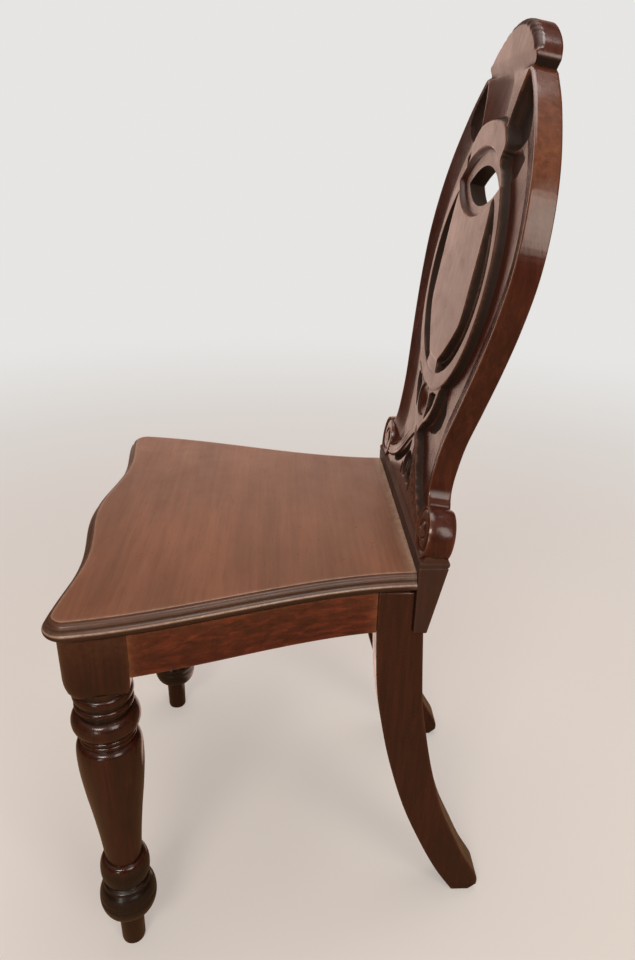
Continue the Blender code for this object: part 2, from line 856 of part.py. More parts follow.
def cut_pockets():
    for name, shares in pocket_shares.items():
        outline = [on_back(share) for share in shares]
        for label, side_outline in pair(outline):
            cutter = relief(f"{name}_{label}", side_outline, -overrun, pocket_depth, 0.90)
            cut(back_panel, cutter)
    dish = ellipse(0.26 * roundel_width, 0.20 * roundel_height, (0, 0.272 * back_length), 14)
    cut(back_panel, relief("dished_oval", dish[:-1], -overrun, ground_depth + join_lap, 0.7))


# The scroll's middle line from the peak out to the ear, as (width, length) shares of the back
scroll_shares = (
    (0.0, 0.190), (0.14, 0.152), (0.30, 0.108), (0.45, 0.082), (0.60, 0.068), (0.74, 0.062),
)


def add_scrolls():
    """Reeded C-scrolls that sweep from under the roundel down to the ears."""
    line = smooth_line([on_back(s) for s in scroll_shares], 2)
    for side, label in ((1, "left"), (-1, "right")):
        rings = []
        for i, point in enumerate(line):
            along = Vector(line[min(i + 1, len(line) - 1)]) - Vector(line[max(i - 1, 0)])
            across = Vector((-along.y, along.x)).normalized()
            half = scroll_width / 2 * (0.55 + 0.45 * min(1, 4 * i / len(line)))
            crown, valley, bed = -scroll_proud, scroll_proud, ground_depth + join_lap
            section = ((-1, bed), (-1, valley), (-0.6, crown), (-0.2, valley), (0.2, crown))
            section += ((0.55, valley), (0.8, crown), (1, valley), (1, bed))
            ring = [(Vector(point) + across * half * s, depth) for s, depth in section]
            rings.append([(side * p.x, depth, p.y) for p, depth in ring])
        join(back_panel, loft(f"scroll_{label}", rings))


cut_crest_roll()
add_margin_hollow()
cut_strap_flute()
add_roundel()
for label, outline in pair(crescent_outline()):
    cut(back_panel, relief(f"crescent_{label}", outline, -overrun, crescent_depth, 0.97))
cut_hand_hole()
add_foot()
add_scrolls()
cut_pockets()
add_ears()
add_neck_flares()
carving_tools = [modifier.object for modifier in back_panel.modifiers]
apply_modifiers(back_panel)
for carved in (back_panel, *carving_tools):
    carved.matrix_world = back_frame


# Corner blocks: glued in the angles of the frame, each notched round its leg
def build_corner_block(name, side, end, leg_x, leg_y, across):
    """end is 1 at the front and -1 at the back; across(x) is the inner face of the cross rail."""
    reach = corner_block_reach

    def along_side(y):
        return rail_side(y) - rail_thickness - fit_gap

    plan = [(x, across(x) + end * fit_gap) for x in spread(leg_x - reach, leg_x - fit_gap, 5)]
    notch_y = leg_y + end * fit_gap
    plan += [(leg_x - fit_gap, notch_y)]
    plan += [(along_side(y), y) for y in spread(notch_y, leg_y + end * reach, 5)]
    high = rail_top - corner_block_drop
    block = slab(name, [(side * x, y) for x, y in plan], high - corner_block_height, high, block_wood)
    return block, Vector(plan[0]), Vector(plan[-1])


def place_along(obj, point, way):
    obj.location = point
    obj.rotation_euler = Vector(way).to_track_quat("Z", "Y").to_euler()


def drive_screw(name, head, way, length, holders, counterbore):
    """A countersunk screw driven from head along way, with its hole cut in each holder."""
    tip = screw_shank_radius
    profile = [
        (0, screw_head_radius), (screw_head_height, screw_shank_radius),
        (length - tip, screw_shank_radius), (length, screw_shank_radius / 4),
    ]
    screw = turned(name, profile, screw_sides, screw_steel)
    place_along(screw, head, way)
    wide = screw_head_radius + 2 * fit_gap
    hole = [
        (-counterbore, wide), (0, wide),
        (screw_head_height, screw_shank_radius + 2 * fit_gap),
        (length - tip, screw_shank_radius + 2 * fit_gap),
        (length + 2 * fit_gap, screw_shank_radius / 4 + 2 * fit_gap),
    ]
    helper = turned(f"{name}_hole", hole, screw_sides)
    place_along(helper, head, way)
    for holder in holders:
        cut(holder, helper)


def fit_corner(corner, side, end, leg_x, leg_y, across, cross_rail):
    """A corner block and its two screws, one into each rail."""
    name = f"corner_block_{corner}"
    block, near, far = build_corner_block(name, side, end, leg_x, leg_y, across)
    level = rail_top - corner_block_drop - corner_block_height / 2
    for share, holder, label in ((0.28, cross_rail, "a"), (0.72, side_rails[side], "b")):
        point = near.lerp(far, share)
        head = Vector((side * point.x, point.y, level))
        way = Vector((0, -end, 0)) if label == "a" else Vector((side, 0, 0))
        start = head + way * (screw_head_radius + screw_recess)
        drive_screw(
            f"block_screw_{corner}_{label}", start, way, block_screw_length, (block, holder),
            overrun + screw_head_radius + screw_recess,
        )


def front_rail_inner(x):
    return rail_front(x) + rail_thickness


def back_rail_inner(x):
    return seat_rear_y - rail_thickness


for side, hand in ((1, "left"), (-1, "right")):
    fit_corner(f"front_{hand}", side, 1, block_inner_x, block_inner_y, front_rail_inner, front_rail)
    fit_corner(
        f"rear_{hand}", side, -1, rear_leg_inner_x, rear_leg_front_y, back_rail_inner, back_rail
    )

# Seat screws: up through counterbored rails into the board
seat_screw_spread = 0.84 * front_leg_x
side_screw_shares = (0.22, 0.66)
upward = Vector((0, 0, 1))
screw_level = rail_bottom + seat_screw_counterbore


def drive_seat_screw(name, x, y, rail):
    drive_screw(
        name, Vector((x, y, screw_level)), upward, seat_screw_length, (rail, seat_board),
        seat_screw_counterbore + overrun,
    )


for side, hand in ((1, "left"), (-1, "right")):
    x = side * seat_screw_spread / 2
    drive_seat_screw(f"seat_screw_front_{hand}", x, rail_front(x) + rail_thickness / 2, front_rail)
    rear_x = 0.82 * x
    drive_seat_screw(f"seat_screw_back_{hand}", rear_x, seat_rear_y - rail_thickness / 2, back_rail)
    for number, share in enumerate(side_screw_shares, 1):
        y = block_inner_y + share * (rear_leg_front_y - block_inner_y)
        middle = side * (rail_side(y) - rail_thickness / 2)
        drive_seat_screw(f"seat_screw_side_{hand}_{number}", middle, y, side_rails[side])

# Back screws: from inside the frame, through the back rail into the back's foot
back_screw_shares = (0.18, 0.42)
for side, hand in ((1, "left"), (-1, "right")):
    for number, share in enumerate(back_screw_shares, 1):
        x = side * share * rear_leg_inner_x
        start = Vector((x, seat_rear_y - rail_thickness + screw_recess, rail_bottom + rail_height / 2))
        drive_screw(
            f"back_screw_{hand}_{number}", start, Vector((0, 1, 0)), back_screw_length,
            (back_rail, back_panel), overrun,
        )
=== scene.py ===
"""A Victorian mahogany hall chair, dressed for its portrait: polished wood, turning and carving.

Metres, +Z up. The chair faces -Y and the sitter's left is +X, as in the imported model.
"""

import math

import bmesh
import bpy
import numpy as np
from mathutils import Matrix, Vector
from mathutils.geometry import interpolate_bezier


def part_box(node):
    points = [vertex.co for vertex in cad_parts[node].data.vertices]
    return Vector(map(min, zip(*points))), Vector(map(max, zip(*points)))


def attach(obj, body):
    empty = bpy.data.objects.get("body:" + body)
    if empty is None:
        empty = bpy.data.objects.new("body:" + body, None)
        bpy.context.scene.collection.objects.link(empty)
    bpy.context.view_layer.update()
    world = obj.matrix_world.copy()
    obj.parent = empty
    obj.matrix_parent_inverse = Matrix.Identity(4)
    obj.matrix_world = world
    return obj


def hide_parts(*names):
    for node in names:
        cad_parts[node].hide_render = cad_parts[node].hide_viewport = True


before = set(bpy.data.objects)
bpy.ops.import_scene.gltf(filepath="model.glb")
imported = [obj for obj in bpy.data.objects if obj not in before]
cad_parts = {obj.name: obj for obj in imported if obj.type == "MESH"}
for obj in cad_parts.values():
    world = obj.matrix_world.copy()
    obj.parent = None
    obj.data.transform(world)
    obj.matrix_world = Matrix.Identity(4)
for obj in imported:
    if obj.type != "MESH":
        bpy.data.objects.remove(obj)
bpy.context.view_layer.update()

# Studio and camera
# A pale floor under a plain pale sky, three soft lamps on the sitter's left and one overhead, and
# the camera off the sitter's left, level with the upper part of the back, looking down.


def linear(hex_colour):
    """An sRGB hex colour as the linear RGBA that Blender's sockets take."""
    shares = [int(hex_colour[i : i + 2], 16) / 255 for i in (1, 3, 5)]
    return (*[c / 12.92 if c <= 0.04045 else ((c + 0.055) / 1.055) ** 2.4 for c in shares], 1.0)


def fill(tree, node, inputs):
    """Sets or links a node's sockets. A node given as a value stands for its first output."""
    for socket, value in inputs.items():
        if isinstance(value, bpy.types.Node):
            value = value.outputs[0]
        if isinstance(value, bpy.types.NodeSocket):
            tree.links.new(value, node.inputs[socket])
        else:
            node.inputs[socket].default_value = value
    return node


def add_node(tree, kind, inputs=None, **settings):
    """Adds a node, sets its fields and fills its sockets."""
    node = tree.nodes.new(kind)
    for field, value in settings.items():
        setattr(node, field, value)
    return fill(tree, node, inputs or {})


def add_object(name, data):
    """A new object, put in the scene."""
    made = bpy.data.objects.new(name, data)
    scene.collection.objects.link(made)
    return made


def mesh_of(name, points, edges=(), faces=()):
    """A mesh of the points, with its edges or its faces."""
    mesh = bpy.data.meshes.new(name)
    mesh.from_pydata(points, edges, faces)
    return mesh


def new_material(name):
    """A material with its node tree, its shader and the coordinates of the piece it is on."""
    material = bpy.data.materials.new(name)
    material.use_nodes = True
    tree = material.node_tree
    place = add_node(tree, "ShaderNodeTexCoord").outputs["Object"]
    return material, tree, tree.nodes["Principled BSDF"], place


scene = bpy.context.scene
scene.view_settings.view_transform = "Standard"

camera_place = Vector((0.7317, -0.0103, 0.8037))
camera_yaw, camera_pitch, camera_roll = -0.0526, 0.4251, 0.0207
focal_px, photo_height_px, sensor_mm = 731.85, 960, 36.0

level = math.cos(camera_pitch)
ahead = Vector((-math.cos(camera_yaw) * level, -math.sin(camera_yaw) * level, -math.sin(camera_pitch)))
right = ahead.cross(Vector((0, 0, 1))).normalized()
above = right.cross(ahead)
turn = Matrix.Rotation(-camera_roll, 3, ahead)
right, above = turn @ right, turn @ above
camera_data = bpy.data.cameras.new("camera")
camera_data.sensor_width = sensor_mm
camera_data.lens = focal_px * sensor_mm / photo_height_px
camera = add_object("camera", camera_data)
camera.matrix_world = Matrix.Translation(camera_place) @ Matrix(
    (right, above, -ahead)
).transposed().to_4x4()
scene.camera = camera

floor_half = 12.0
square = ((-1, -1), (1, -1), (1, 1), (-1, 1))
floor_mesh = mesh_of(
    "floor", [(x * floor_half, y * floor_half, 0) for x, y in square], faces=[(0, 1, 2, 3)]
)
floor = add_object("floor", floor_mesh)
sky_colour, sky_tint = linear("#e6e5e3"), linear("#f4cebd")

# The floor shows pale to the camera and runs out into the sky. It bounces a warm brown tone,
# except that gloss sees it pale towards -X
floor_paint, paint, paint_shader, spot = new_material("matt_floor_paint")
eye = add_node(paint, "ShaderNodeLightPath").outputs
tone = add_node(
    paint, "ShaderNodeMix",
    {0: eye["Is Camera Ray"], 6: linear("#8b6f50"), 7: linear("#dedad2")}, data_type="RGBA",
)
fill(paint, paint_shader, {"Base Color": tone.outputs[2], "Roughness": 0.8})
reach = add_node(paint, "ShaderNodeVectorMath", {0: spot}, operation="LENGTH")
far = add_node(
    paint, "ShaderNodeMapRange",
    {"Value": reach.outputs["Value"], "From Min": 0.3, "From Max": 2.8, "To Min": 0.35},
    interpolation_type="SMOOTHSTEP",
)
faded_out = add_node(paint, "ShaderNodeMath", {0: far, 1: eye["Is Camera Ray"]}, operation="MULTIPLY")
side_way = add_node(paint, "ShaderNodeVectorMath", {0: spot}, operation="NORMALIZE")
side_x = add_node(paint, "ShaderNodeSeparateXYZ", {0: side_way})
pale_side = add_node(
    paint, "ShaderNodeMapRange",
    {"Value": side_x.outputs["X"], "From Min": -0.93, "From Max": -0.80, "To Min": 0.9, "To Max": 0.0},
    interpolation_type="SMOOTHSTEP",
)
gloss_pale = add_node(
    paint, "ShaderNodeMath", {0: pale_side, 1: eye["Is Glossy Ray"]}, operation="MULTIPLY"
)
glowing = add_node(paint, "ShaderNodeMath", {0: faded_out, 1: gloss_pale}, operation="MAXIMUM")
glow_tint = add_node(
    paint, "ShaderNodeMix", {0: eye["Is Camera Ray"], 6: sky_tint, 7: sky_colour}, data_type="RGBA"
)
glow_light = add_node(paint, "ShaderNodeMix", {0: eye["Is Camera Ray"], 2: 1.55, 3: 1.0})
glow = add_node(paint, "ShaderNodeEmission", {"Color": glow_tint.outputs[2], "Strength": glow_light})
sweep = add_node(paint, "ShaderNodeMixShader", {0: glowing, 1: paint_shader, 2: glow})
fill(paint, paint.nodes["Material Output"], {"Surface": sweep})
floor_mesh.materials.append(floor_paint)

# The sky is pale to the camera. Gloss sees it bright towards -X and overhead, and dim elsewhere
studio = bpy.data.worlds.new("studio")
studio.use_nodes = True
scene.world = studio
sky = studio.node_tree
sky.nodes.clear()
ray = add_node(sky, "ShaderNodeLightPath").outputs
heading = add_node(sky, "ShaderNodeTexCoord").outputs["Generated"]
ways = add_node(sky, "ShaderNodeSeparateXYZ", {0: heading})
side_light = add_node(
    sky, "ShaderNodeMapRange",
    {"Value": ways.outputs["X"], "From Min": -0.985, "From Max": -0.80, "To Min": 1.68, "To Max": 0.05},
    interpolation_type="SMOOTHSTEP",
)
top_light = add_node(
    sky, "ShaderNodeMapRange",
    {"Value": ways.outputs["Z"], "From Min": 0.45, "From Max": 0.95, "To Min": 0.0, "To Max": 0.48},
    interpolation_type="SMOOTHSTEP",
)
gloss_side = add_node(sky, "ShaderNodeMath", {0: side_light, 1: top_light}, operation="MAXIMUM")
gloss_light = add_node(sky, "ShaderNodeMix", {0: ray["Is Glossy Ray"], 2: 0.50, 3: gloss_side})
seen = add_node(
    sky, "ShaderNodeMath", {0: ray["Is Camera Ray"], 1: ray["Is Transmission Ray"]}, operation="MAXIMUM"
)
strength = add_node(sky, "ShaderNodeMix", {0: seen, 2: gloss_light, 3: 1.0})
tint = add_node(sky, "ShaderNodeMix", {0: seen, 6: sky_tint, 7: sky_colour}, data_type="RGBA")
dome = add_node(sky, "ShaderNodeBackground", {"Color": tint.outputs[2], "Strength": strength})
add_node(sky, "ShaderNodeOutputWorld", {"Surface": dome})


def soft_lamp(name, place, aim, width, height, watts, tint="#ffffff"):
    """A softbox at a place, turned towards what it lights."""
    data = bpy.data.lights.new(name, "AREA")
    data.shape, data.size, data.size_y = "RECTANGLE", width, height
    data.energy, data.color = watts, linear(tint)[:3]
    lamp = add_object(name, data)
    way = Vector(aim) - Vector(place)
    lamp.matrix_world = Matrix.Translation(place) @ way.to_track_quat("-Z", "Y").to_matrix().to_4x4()


soft_lamp("window_left", (1.75, -0.62, 1.80), (0.1, -0.1, 0.35), 0.7, 0.5, 19, "#fff6ea")
soft_lamp("tall_window", (2.12, 1.40, 1.95), (0.17, 0.2, 0.75), 1.0, 1.6, 24, "#fff6ea")
soft_lamp("low_window_left", (2.20, -0.85, 0.50), (0.1, -0.1, 0.2), 0.35, 0.5, 3, "#fff6ea")
soft_lamp("ceiling", (-0.3, 0.2, 2.4), (0, 0, 0.4), 1.1, 1.1, 15)

# Seat board
# One wide mahogany board, 20 mm thick, sawn to a serpentine front and concave sides. Its edge is
# moulded: a small quirk, a thumbnail slope and a half-round bead. It is screwed down from below.

seat_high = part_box("seat_board")[1]
seat_top = seat_high.z
seat_front_y, seat_rear_y = -0.220, seat_high.y
overall_width, seat_rear_width = 0.450, 0.300
seat_depth = seat_rear_y - seat_front_y
seat_thickness = 0.0205
serpentine_depth, serpentine_wave, serpentine_sweep = 0.0115, 0.220, 0.005
seat_corner_radius = 0.021
moulding_width, quirk_depth = 0.009, 0.0015
bead_radius, bead_drop = 0.0045, 0.0120
rail_inset = 0.008


def spread(start, stop, steps):
    """Evenly spaced values from start to stop, both included."""
    return [start + (stop - start) * k / steps for k in range(steps + 1)]


def side_rise(t):
    """How far the seat's side has spread, from 0 at the back edge to 1 at the front corner."""
    return 0.10 * (t**3 - 2 * t**2 + t) + (3 * t**2 - 2 * t**3) + 0.23 * (t**3 - t**2)


def seat_front(x):
    """The serpentine front edge, swept back a little towards the corners."""
    wave = serpentine_depth * (1 - math.cos(2 * math.pi * x / serpentine_wave)) / 2
    return seat_front_y + wave + serpentine_sweep * (2 * x / overall_width) ** 2


corner_y = seat_front(overall_width / 2) + seat_corner_radius
seat_flare = (overall_width - seat_rear_width) / 2
seat_flare /= side_rise((seat_rear_y - corner_y) / seat_depth)


def seat_side(y):
    """Half the width of the seat, which narrows to the back along a hollow line."""
    return seat_rear_width / 2 + seat_flare * side_rise((seat_rear_y - y) / seat_depth)


def rail_front(x):
    """The line that the front rail's outer face and the leg blocks' front faces follow."""
    return seat_front(x) + rail_inset


def rail_side(y):
    return seat_side(y) - rail_inset


def corner_arc(side, front, radius, steps):
    """A round corner from the front line y = front(x) to the side line x = side(y)."""
    small = overall_width / 100
    x, y = side(seat_front_y) - radius, front(side(seat_front_y)) + radius
    for _ in range(12):
        lean = math.atan((side(y + small) - side(y - small)) / (2 * small))
        sweep = math.atan((front(x + small) - front(x - small)) / (2 * small))
        x = side(y) - radius / math.cos(lean)
        y = front(x) + radius / math.cos(sweep)
    return [
        (x + radius * math.cos(a), y + radius * math.sin(a))
        for a in spread(sweep - math.pi / 2, -lean, steps)
    ]


def half_outline(side, front, radius, from_x, to_y, steps):
    """The outline from the front at from_x, round the corner, to the side at to_y."""
    arc = corner_arc(side, front, radius, steps // 2)
    ahead = [(x, front(x)) for x in spread(from_x, arc[0][0], steps)][:-1]
    behind = [(side(y), y) for y in spread(arc[-1][1], to_y, steps)][1:]
    return ahead + arc + behind


def solid_from_rings(name, rings, closed=True):
    """A mesh through rings with equal counts of points, with a face over each end."""
    bm = bmesh.new()
    loops = [[bm.verts.new(point) for point in ring] for ring in rings]
    for low, high in zip(loops, loops[1:]):
        for i in range(len(low) if closed else len(low) - 1):
            j = (i + 1) % len(low)
            bm.faces.new((low[i], low[j], high[j], high[i]))
    bm.faces.new(loops[0])
    bm.faces.new(loops[-1])
    if not closed:
        bm.faces.new([ring[0] for ring in loops] + [ring[-1] for ring in reversed(loops)])
    bmesh.ops.recalc_face_normals(bm, faces=bm.faces[:])
    mesh = bpy.data.meshes.new(name)
    bm.to_mesh(mesh)
    bm.free()
    return mesh


def mark_wear(mesh):
    """Stores on each point how far it is a ridge, paled as wear and painted highlight, or a hollow,
    darkened as old wax and painted shade, from how its faces turn.
    """
    bm = bmesh.new()
    bm.from_mesh(mesh)
    bm.verts.ensure_lookup_table()
    count = len(bm.verts)
    most, least = np.zeros(count), np.zeros(count)
    ends = np.array([(e.verts[0].index, e.verts[1].index) for e in bm.edges])
    turns = np.array([e.calc_face_angle_signed(0.0) for e in bm.edges])
    for side in (0, 1):
        np.maximum.at(most, ends[:, side], turns)
        np.minimum.at(least, ends[:, side], turns)
    bm.free()
    flat, full, spread_steps = math.radians(12), math.radians(57), 2
    degree = np.bincount(ends.ravel(), minlength=count)
    for name, strength in (("ridge", most), ("hollow", -least)):
        value = np.clip((strength - flat) / (full - flat), 0, 1)
        for _ in range(spread_steps):
            total = value * degree
            np.add.at(total, ends[:, 0], value[ends[:, 1]])
            np.add.at(total, ends[:, 1], value[ends[:, 0]])
            value = total / (2 * degree)
        layer = mesh.attributes.get(name) or mesh.attributes.new(name, "FLOAT", "POINT")
        layer.data.foreach_set("value", value.astype(np.float32))


def french_polished(
    name, dark, middle, light, grain, roughness, wear_and_highlight="#8a5a3c", coat=0.25, wax_dull=0.10,
    darkening="#150c06",
):
    """Mahogany under shellac: growth lines along the grain, short dark pores, soft blotches of
    colour, ridges paled as wear and as painted highlight, and hollows darkened as old wax and as
    painted shade. grain is near 0 along the fibres."""
    material, tree, shader, place = new_material(name)
    along = add_node(tree, "ShaderNodeMapping", {"Vector": place, "Scale": grain})
    # Growth lines about 5 mm apart
    figure = add_node(
        tree, "ShaderNodeTexNoise",
        {"Vector": along, "Scale": 190.0, "Detail": 4.0, "Roughness": 0.62, "Distortion": 0.5},
    )
    tones = add_node(tree, "ShaderNodeValToRGB", {"Fac": figure})
    tones.color_ramp.elements.new(0.5)
    for stop, at, tone in zip(tones.color_ramp.elements, (0.25, 0.5, 0.75), (dark, middle, light)):
        stop.position, stop.color = at, linear(tone)
    # Patches of stain and fading, a hand's breadth long, drawn out along the grain
    drawn_out = add_node(
        tree, "ShaderNodeMapping", {"Vector": place, "Scale": [share**0.4 for share in grain]}
    )
    blotch = add_node(
        tree, "ShaderNodeTexNoise",
        {"Vector": drawn_out, "Scale": 22.0, "Detail": 2.0, "Roughness": 0.5},
    )
    fading = add_node(
        tree, "ShaderNodeMapRange",
        {"Value": blotch, "From Min": 0.3, "From Max": 0.7, "To Min": 0.84, "To Max": 1.2},
    )
    faded = add_node(
        tree, "ShaderNodeMix",
        {0: 1.0, 6: tones, 7: fading}, data_type="RGBA", blend_type="MULTIPLY",
    )
    # Pores are 0.2 mm wide in the wood; here they are drawn 1 mm wide, so that they show
    pores = add_node(
        tree, "ShaderNodeTexNoise",
        {"Vector": along, "Scale": 900.0, "Detail": 2.0, "Roughness": 0.5},
    )
    pore = add_node(
        tree, "ShaderNodeMapRange",
        {"Value": pores, "From Min": 0.58, "From Max": 0.72, "To Min": 0.0, "To Max": 0.24},
    )
    grained = add_node(
        tree, "ShaderNodeMix",
        {0: pore, 6: faded.outputs[2], 7: linear("#1c0d08")}, data_type="RGBA",
    )
    # Ridges are paled with the worn colour: wear, and painted highlight on the seat's bead and the
    # carving's arrises
    ridge = add_node(tree, "ShaderNodeAttribute", attribute_name="ridge")
    patchy_paling = add_node(
        tree, "ShaderNodeTexNoise",
        {"Vector": place, "Scale": 160.0, "Detail": 3.0, "Roughness": 0.7},
    )
    pale_share = add_node(
        tree, "ShaderNodeMapRange",
        {"Value": patchy_paling, "From Min": 0.30, "From Max": 0.70, "To Min": 0.3, "To Max": 0.85},
    )
    pale_edge = add_node(tree, "ShaderNodeMath", {0: ridge.outputs["Fac"], 1: pale_share}, operation="MULTIPLY")
    edged = add_node(
        tree, "ShaderNodeMix", {0: pale_edge, 6: grained.outputs[2], 7: linear(wear_and_highlight)}, data_type="RGBA"
    )
    # Hollows are darkened with the wax colour: old wax, and painted shade in creases, recesses and under
    # the seat's bead
    hollow = add_node(tree, "ShaderNodeAttribute", attribute_name="hollow")
    wax_and_shade = add_node(tree, "ShaderNodeMath", {0: hollow.outputs["Fac"], 1: 0.94}, operation="MULTIPLY")
    colour = add_node(
        tree, "ShaderNodeMix", {0: wax_and_shade, 6: edged.outputs[2], 7: linear(darkening)}, data_type="RGBA"
    )
    # Finger marks and thin shellac change the gloss
    smear = add_node(
        tree, "ShaderNodeTexNoise",
        {"Vector": place, "Scale": 40.0, "Detail": 3.0, "Roughness": 0.55},
    )
    gloss = add_node(
        tree, "ShaderNodeMapRange",
        {"Value": smear, "From Min": 0.3, "From Max": 0.7,
         "To Min": roughness - 0.05, "To Max": roughness + 0.09},
    )
    dulled = add_node(
        tree, "ShaderNodeMath", {0: wax_and_shade, 1: wax_dull, 2: gloss}, operation="MULTIPLY_ADD"
    )
    sunk = add_node(tree, "ShaderNodeMath", {0: pore, 1: -0.6, 2: figure}, operation="MULTIPLY_ADD")
    bump = add_node(tree, "ShaderNodeBump", {"Height": sunk, "Strength": 0.18, "Distance": 0.0006})
    ripple = add_node(
        tree, "ShaderNodeBump",
        {"Height": smear, "Strength": 0.10, "Distance": 0.0008, "Normal": bump},
    )
    surface = {"Base Color": colour.outputs[2], "Roughness": dulled, "Normal": ripple, "IOR": 1.5}
    fill(tree, shader, {**surface, "Coat Weight": coat, "Coat Roughness": 0.10})
    return material


def show(name, mesh, material, nodes, smooth_angle=32.0, wear_and_highlight=True):
    """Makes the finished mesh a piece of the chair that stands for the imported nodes."""
    if wear_and_highlight:
        mark_wear(mesh)
    mesh.shade_smooth()
    mesh.set_sharp_from_angle(angle=math.radians(smooth_angle))
    mesh.materials.clear()
    mesh.materials.append(material)
    piece = add_object(name, mesh)
    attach(piece, "root")
    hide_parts(*nodes)
    return piece


def moulded_edge():
    """(inset, drop) down the seat's edge: quirk, thumbnail, groove, half-round bead, then a slope
    back to the rails."""
    soft = quirk_depth / 5
    thumb_inset = moulding_width - quirk_depth / 2
    thumb_drop = bead_drop - 1.25 * bead_radius
    # Three plain rings inside the moulding keep the pale marks of its edge, wear and painted
    # highlight, off the flat top
    section = [(moulding_width + soft + clear, 0) for clear in (0.0060, 0.0040, 0.0020)]
    section += [
        (moulding_width + soft, 0), (moulding_width + soft / 4, soft / 3), (moulding_width, soft),
        (moulding_width, quirk_depth),
    ]
    for angle in spread(0, 75, 8):
        a = math.radians(angle)
        out = (thumb_inset - bead_radius * 0.9) * math.sin(a)
        section.append((thumb_inset - out, quirk_depth + (thumb_drop - quirk_depth) * (1 - math.cos(a))))
    section.append((1.15 * bead_radius, bead_drop - bead_radius))
    for angle in spread(58, -66, 12):
        a = math.radians(angle)
        section.append((bead_radius * (1 - math.cos(a)), bead_drop - bead_radius * math.sin(a)))
    section += [(1.2 * bead_radius, bead_drop + bead_radius), (rail_inset, seat_thickness)]
    return section


def inset_line(line, inset):
    """The open outline moved inwards; its two ends slide along the straight back edge."""
    moved = []
    last = len(line) - 1
    for i, point in enumerate(line):
        along = Vector(line[min(i + 1, last)]) - Vector(line[max(i - 1, 0)])
        inward = Vector((-along.y, along.x)).normalized()
        if i in (0, last):
            moved.append((point[0] + inset / inward.x, point[1]))
        else:
            moved.append(tuple(Vector(point) + inward * inset))
    return moved


def mirrored(plan):
    """The same outline on the other side of the chair."""
    return [(-x, y) for x, y in reversed(plan)]


seat_right = half_outline(seat_side, seat_front, seat_corner_radius, 0, seat_rear_y, 60)
seat_line = mirrored(seat_right)[:-1] + seat_right
seat_rings = [
    [(x, y, seat_top - drop) for x, y in inset_line(seat_line, inset)]
    for inset, drop in moulded_edge()
]
seat_mesh = solid_from_rings("seat", seat_rings, closed=False)
seat_polish = french_polished(
    "seat_mahogany_rubbed_by_use", "#6b4531", "#734c37", "#7b533d", grain=(0.05, 1, 1),
    roughness=0.32, wear_and_highlight="#cdb8a3", coat=0.12,
)
show("seat", seat_mesh, seat_polish, ["seat_board"])


def darken(mesh, low, high, share, soft):
    """Darkens a band of heights on a finished piece through its hollow mark: a black stain on the
    legs, painted shade on the seat's edge, and the whole foot.
    """
    for point, mark in zip(mesh.vertices, mesh.attributes["hollow"].data):
        within = min(point.co.z - low, high - point.co.z) / soft
        mark.value = max(mark.value, share * min(1.0, max(0.0, within)))


bead_height = seat_top - bead_drop
# Painted shade: the edge is painted darker from the quirk down, darker still from the bead down
for shade_top, share in ((seat_top - quirk_depth / 2, 0.62), (bead_height + bead_radius, 0.85)):
    darken(seat_mesh, seat_top - 2 * seat_thickness, shade_top, share, 0.0008)
# Painted highlight: a thin pale line is painted along the upper part of the bead
ridges, hollows = (seat_mesh.attributes[name].data for name in ("ridge", "hollow"))
for point, ridge, hollow in zip(seat_mesh.vertices, ridges, hollows):
    off_crown = abs(point.co.z - bead_height - 0.5 * bead_radius)
    pale_share = max(0.0, 1 - off_crown / (0.3 * bead_radius))
    ridge.value = max(ridge.value, pale_share)
    hollow.value *= 1 - pale_share

# Seat rails
# Four mahogany rails under the seat, the front one shaped to its serpentine and the side ones to
# its hollow sides. They are tenoned into the legs, and their lower edges are only eased.

rail_box_low, rail_box_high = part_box("front_rail")
rail_bottom, rail_top = rail_box_low.z, rail_box_high.z
rail_thickness = 0.022
eased = 0.0008
front_leg_x, front_leg_y = 0.187, seat_front_y + 0.0437
front_block_width = 0.062
rear_leg_thickness, rear_leg_depth = 0.034, 0.0354
block_inner_x = front_leg_x - front_block_width / 2
block_inner_y = front_leg_y + front_block_width / 2
rear_leg_front_y = seat_rear_y - rear_leg_depth
rear_leg_outer_x = rail_side(rear_leg_front_y)
rear_leg_inner_x = rear_leg_outer_x - rear_leg_thickness


def eased_board(name, outer, inner, low, high):
    """A rail between its outer and inner lines in plan, with eased long lower edges."""
    rings = []
    rises = (0, eased, 2 * eased, 4 * eased, 7 * eased, high - low - 4 * eased, high - low)
    for rise in rises:
        draw = max(0.0, eased - rise)
        ring = []
        for a, b in zip(outer + inner[::-1], inner + outer[::-1]):
            inward = (Vector(b) - Vector(a)).normalized() * draw
            ring.append((a[0] + inward.x, a[1] + inward.y, low + rise))
        rings.append(ring)
    return solid_from_rings(name, rings)


rail_polish, cross_rail_polish = [
    french_polished(name, "#2a0f08", "#4a1d11", "#723220", grain, roughness=0.26)
    for name, grain in (
        ("rail_mahogany_polished", (1, 0.05, 1)), ("cross_rail_mahogany_polished", (0.05, 1, 1)),
    )
]
fit_gap = 0.0003
hands = ((1, "left"), (-1, "right"))


def rail_piece(name, outer, inner, polish, node):
    mesh = eased_board(name, outer, inner, rail_bottom, rail_top)
    show(name, mesh, polish, [node])


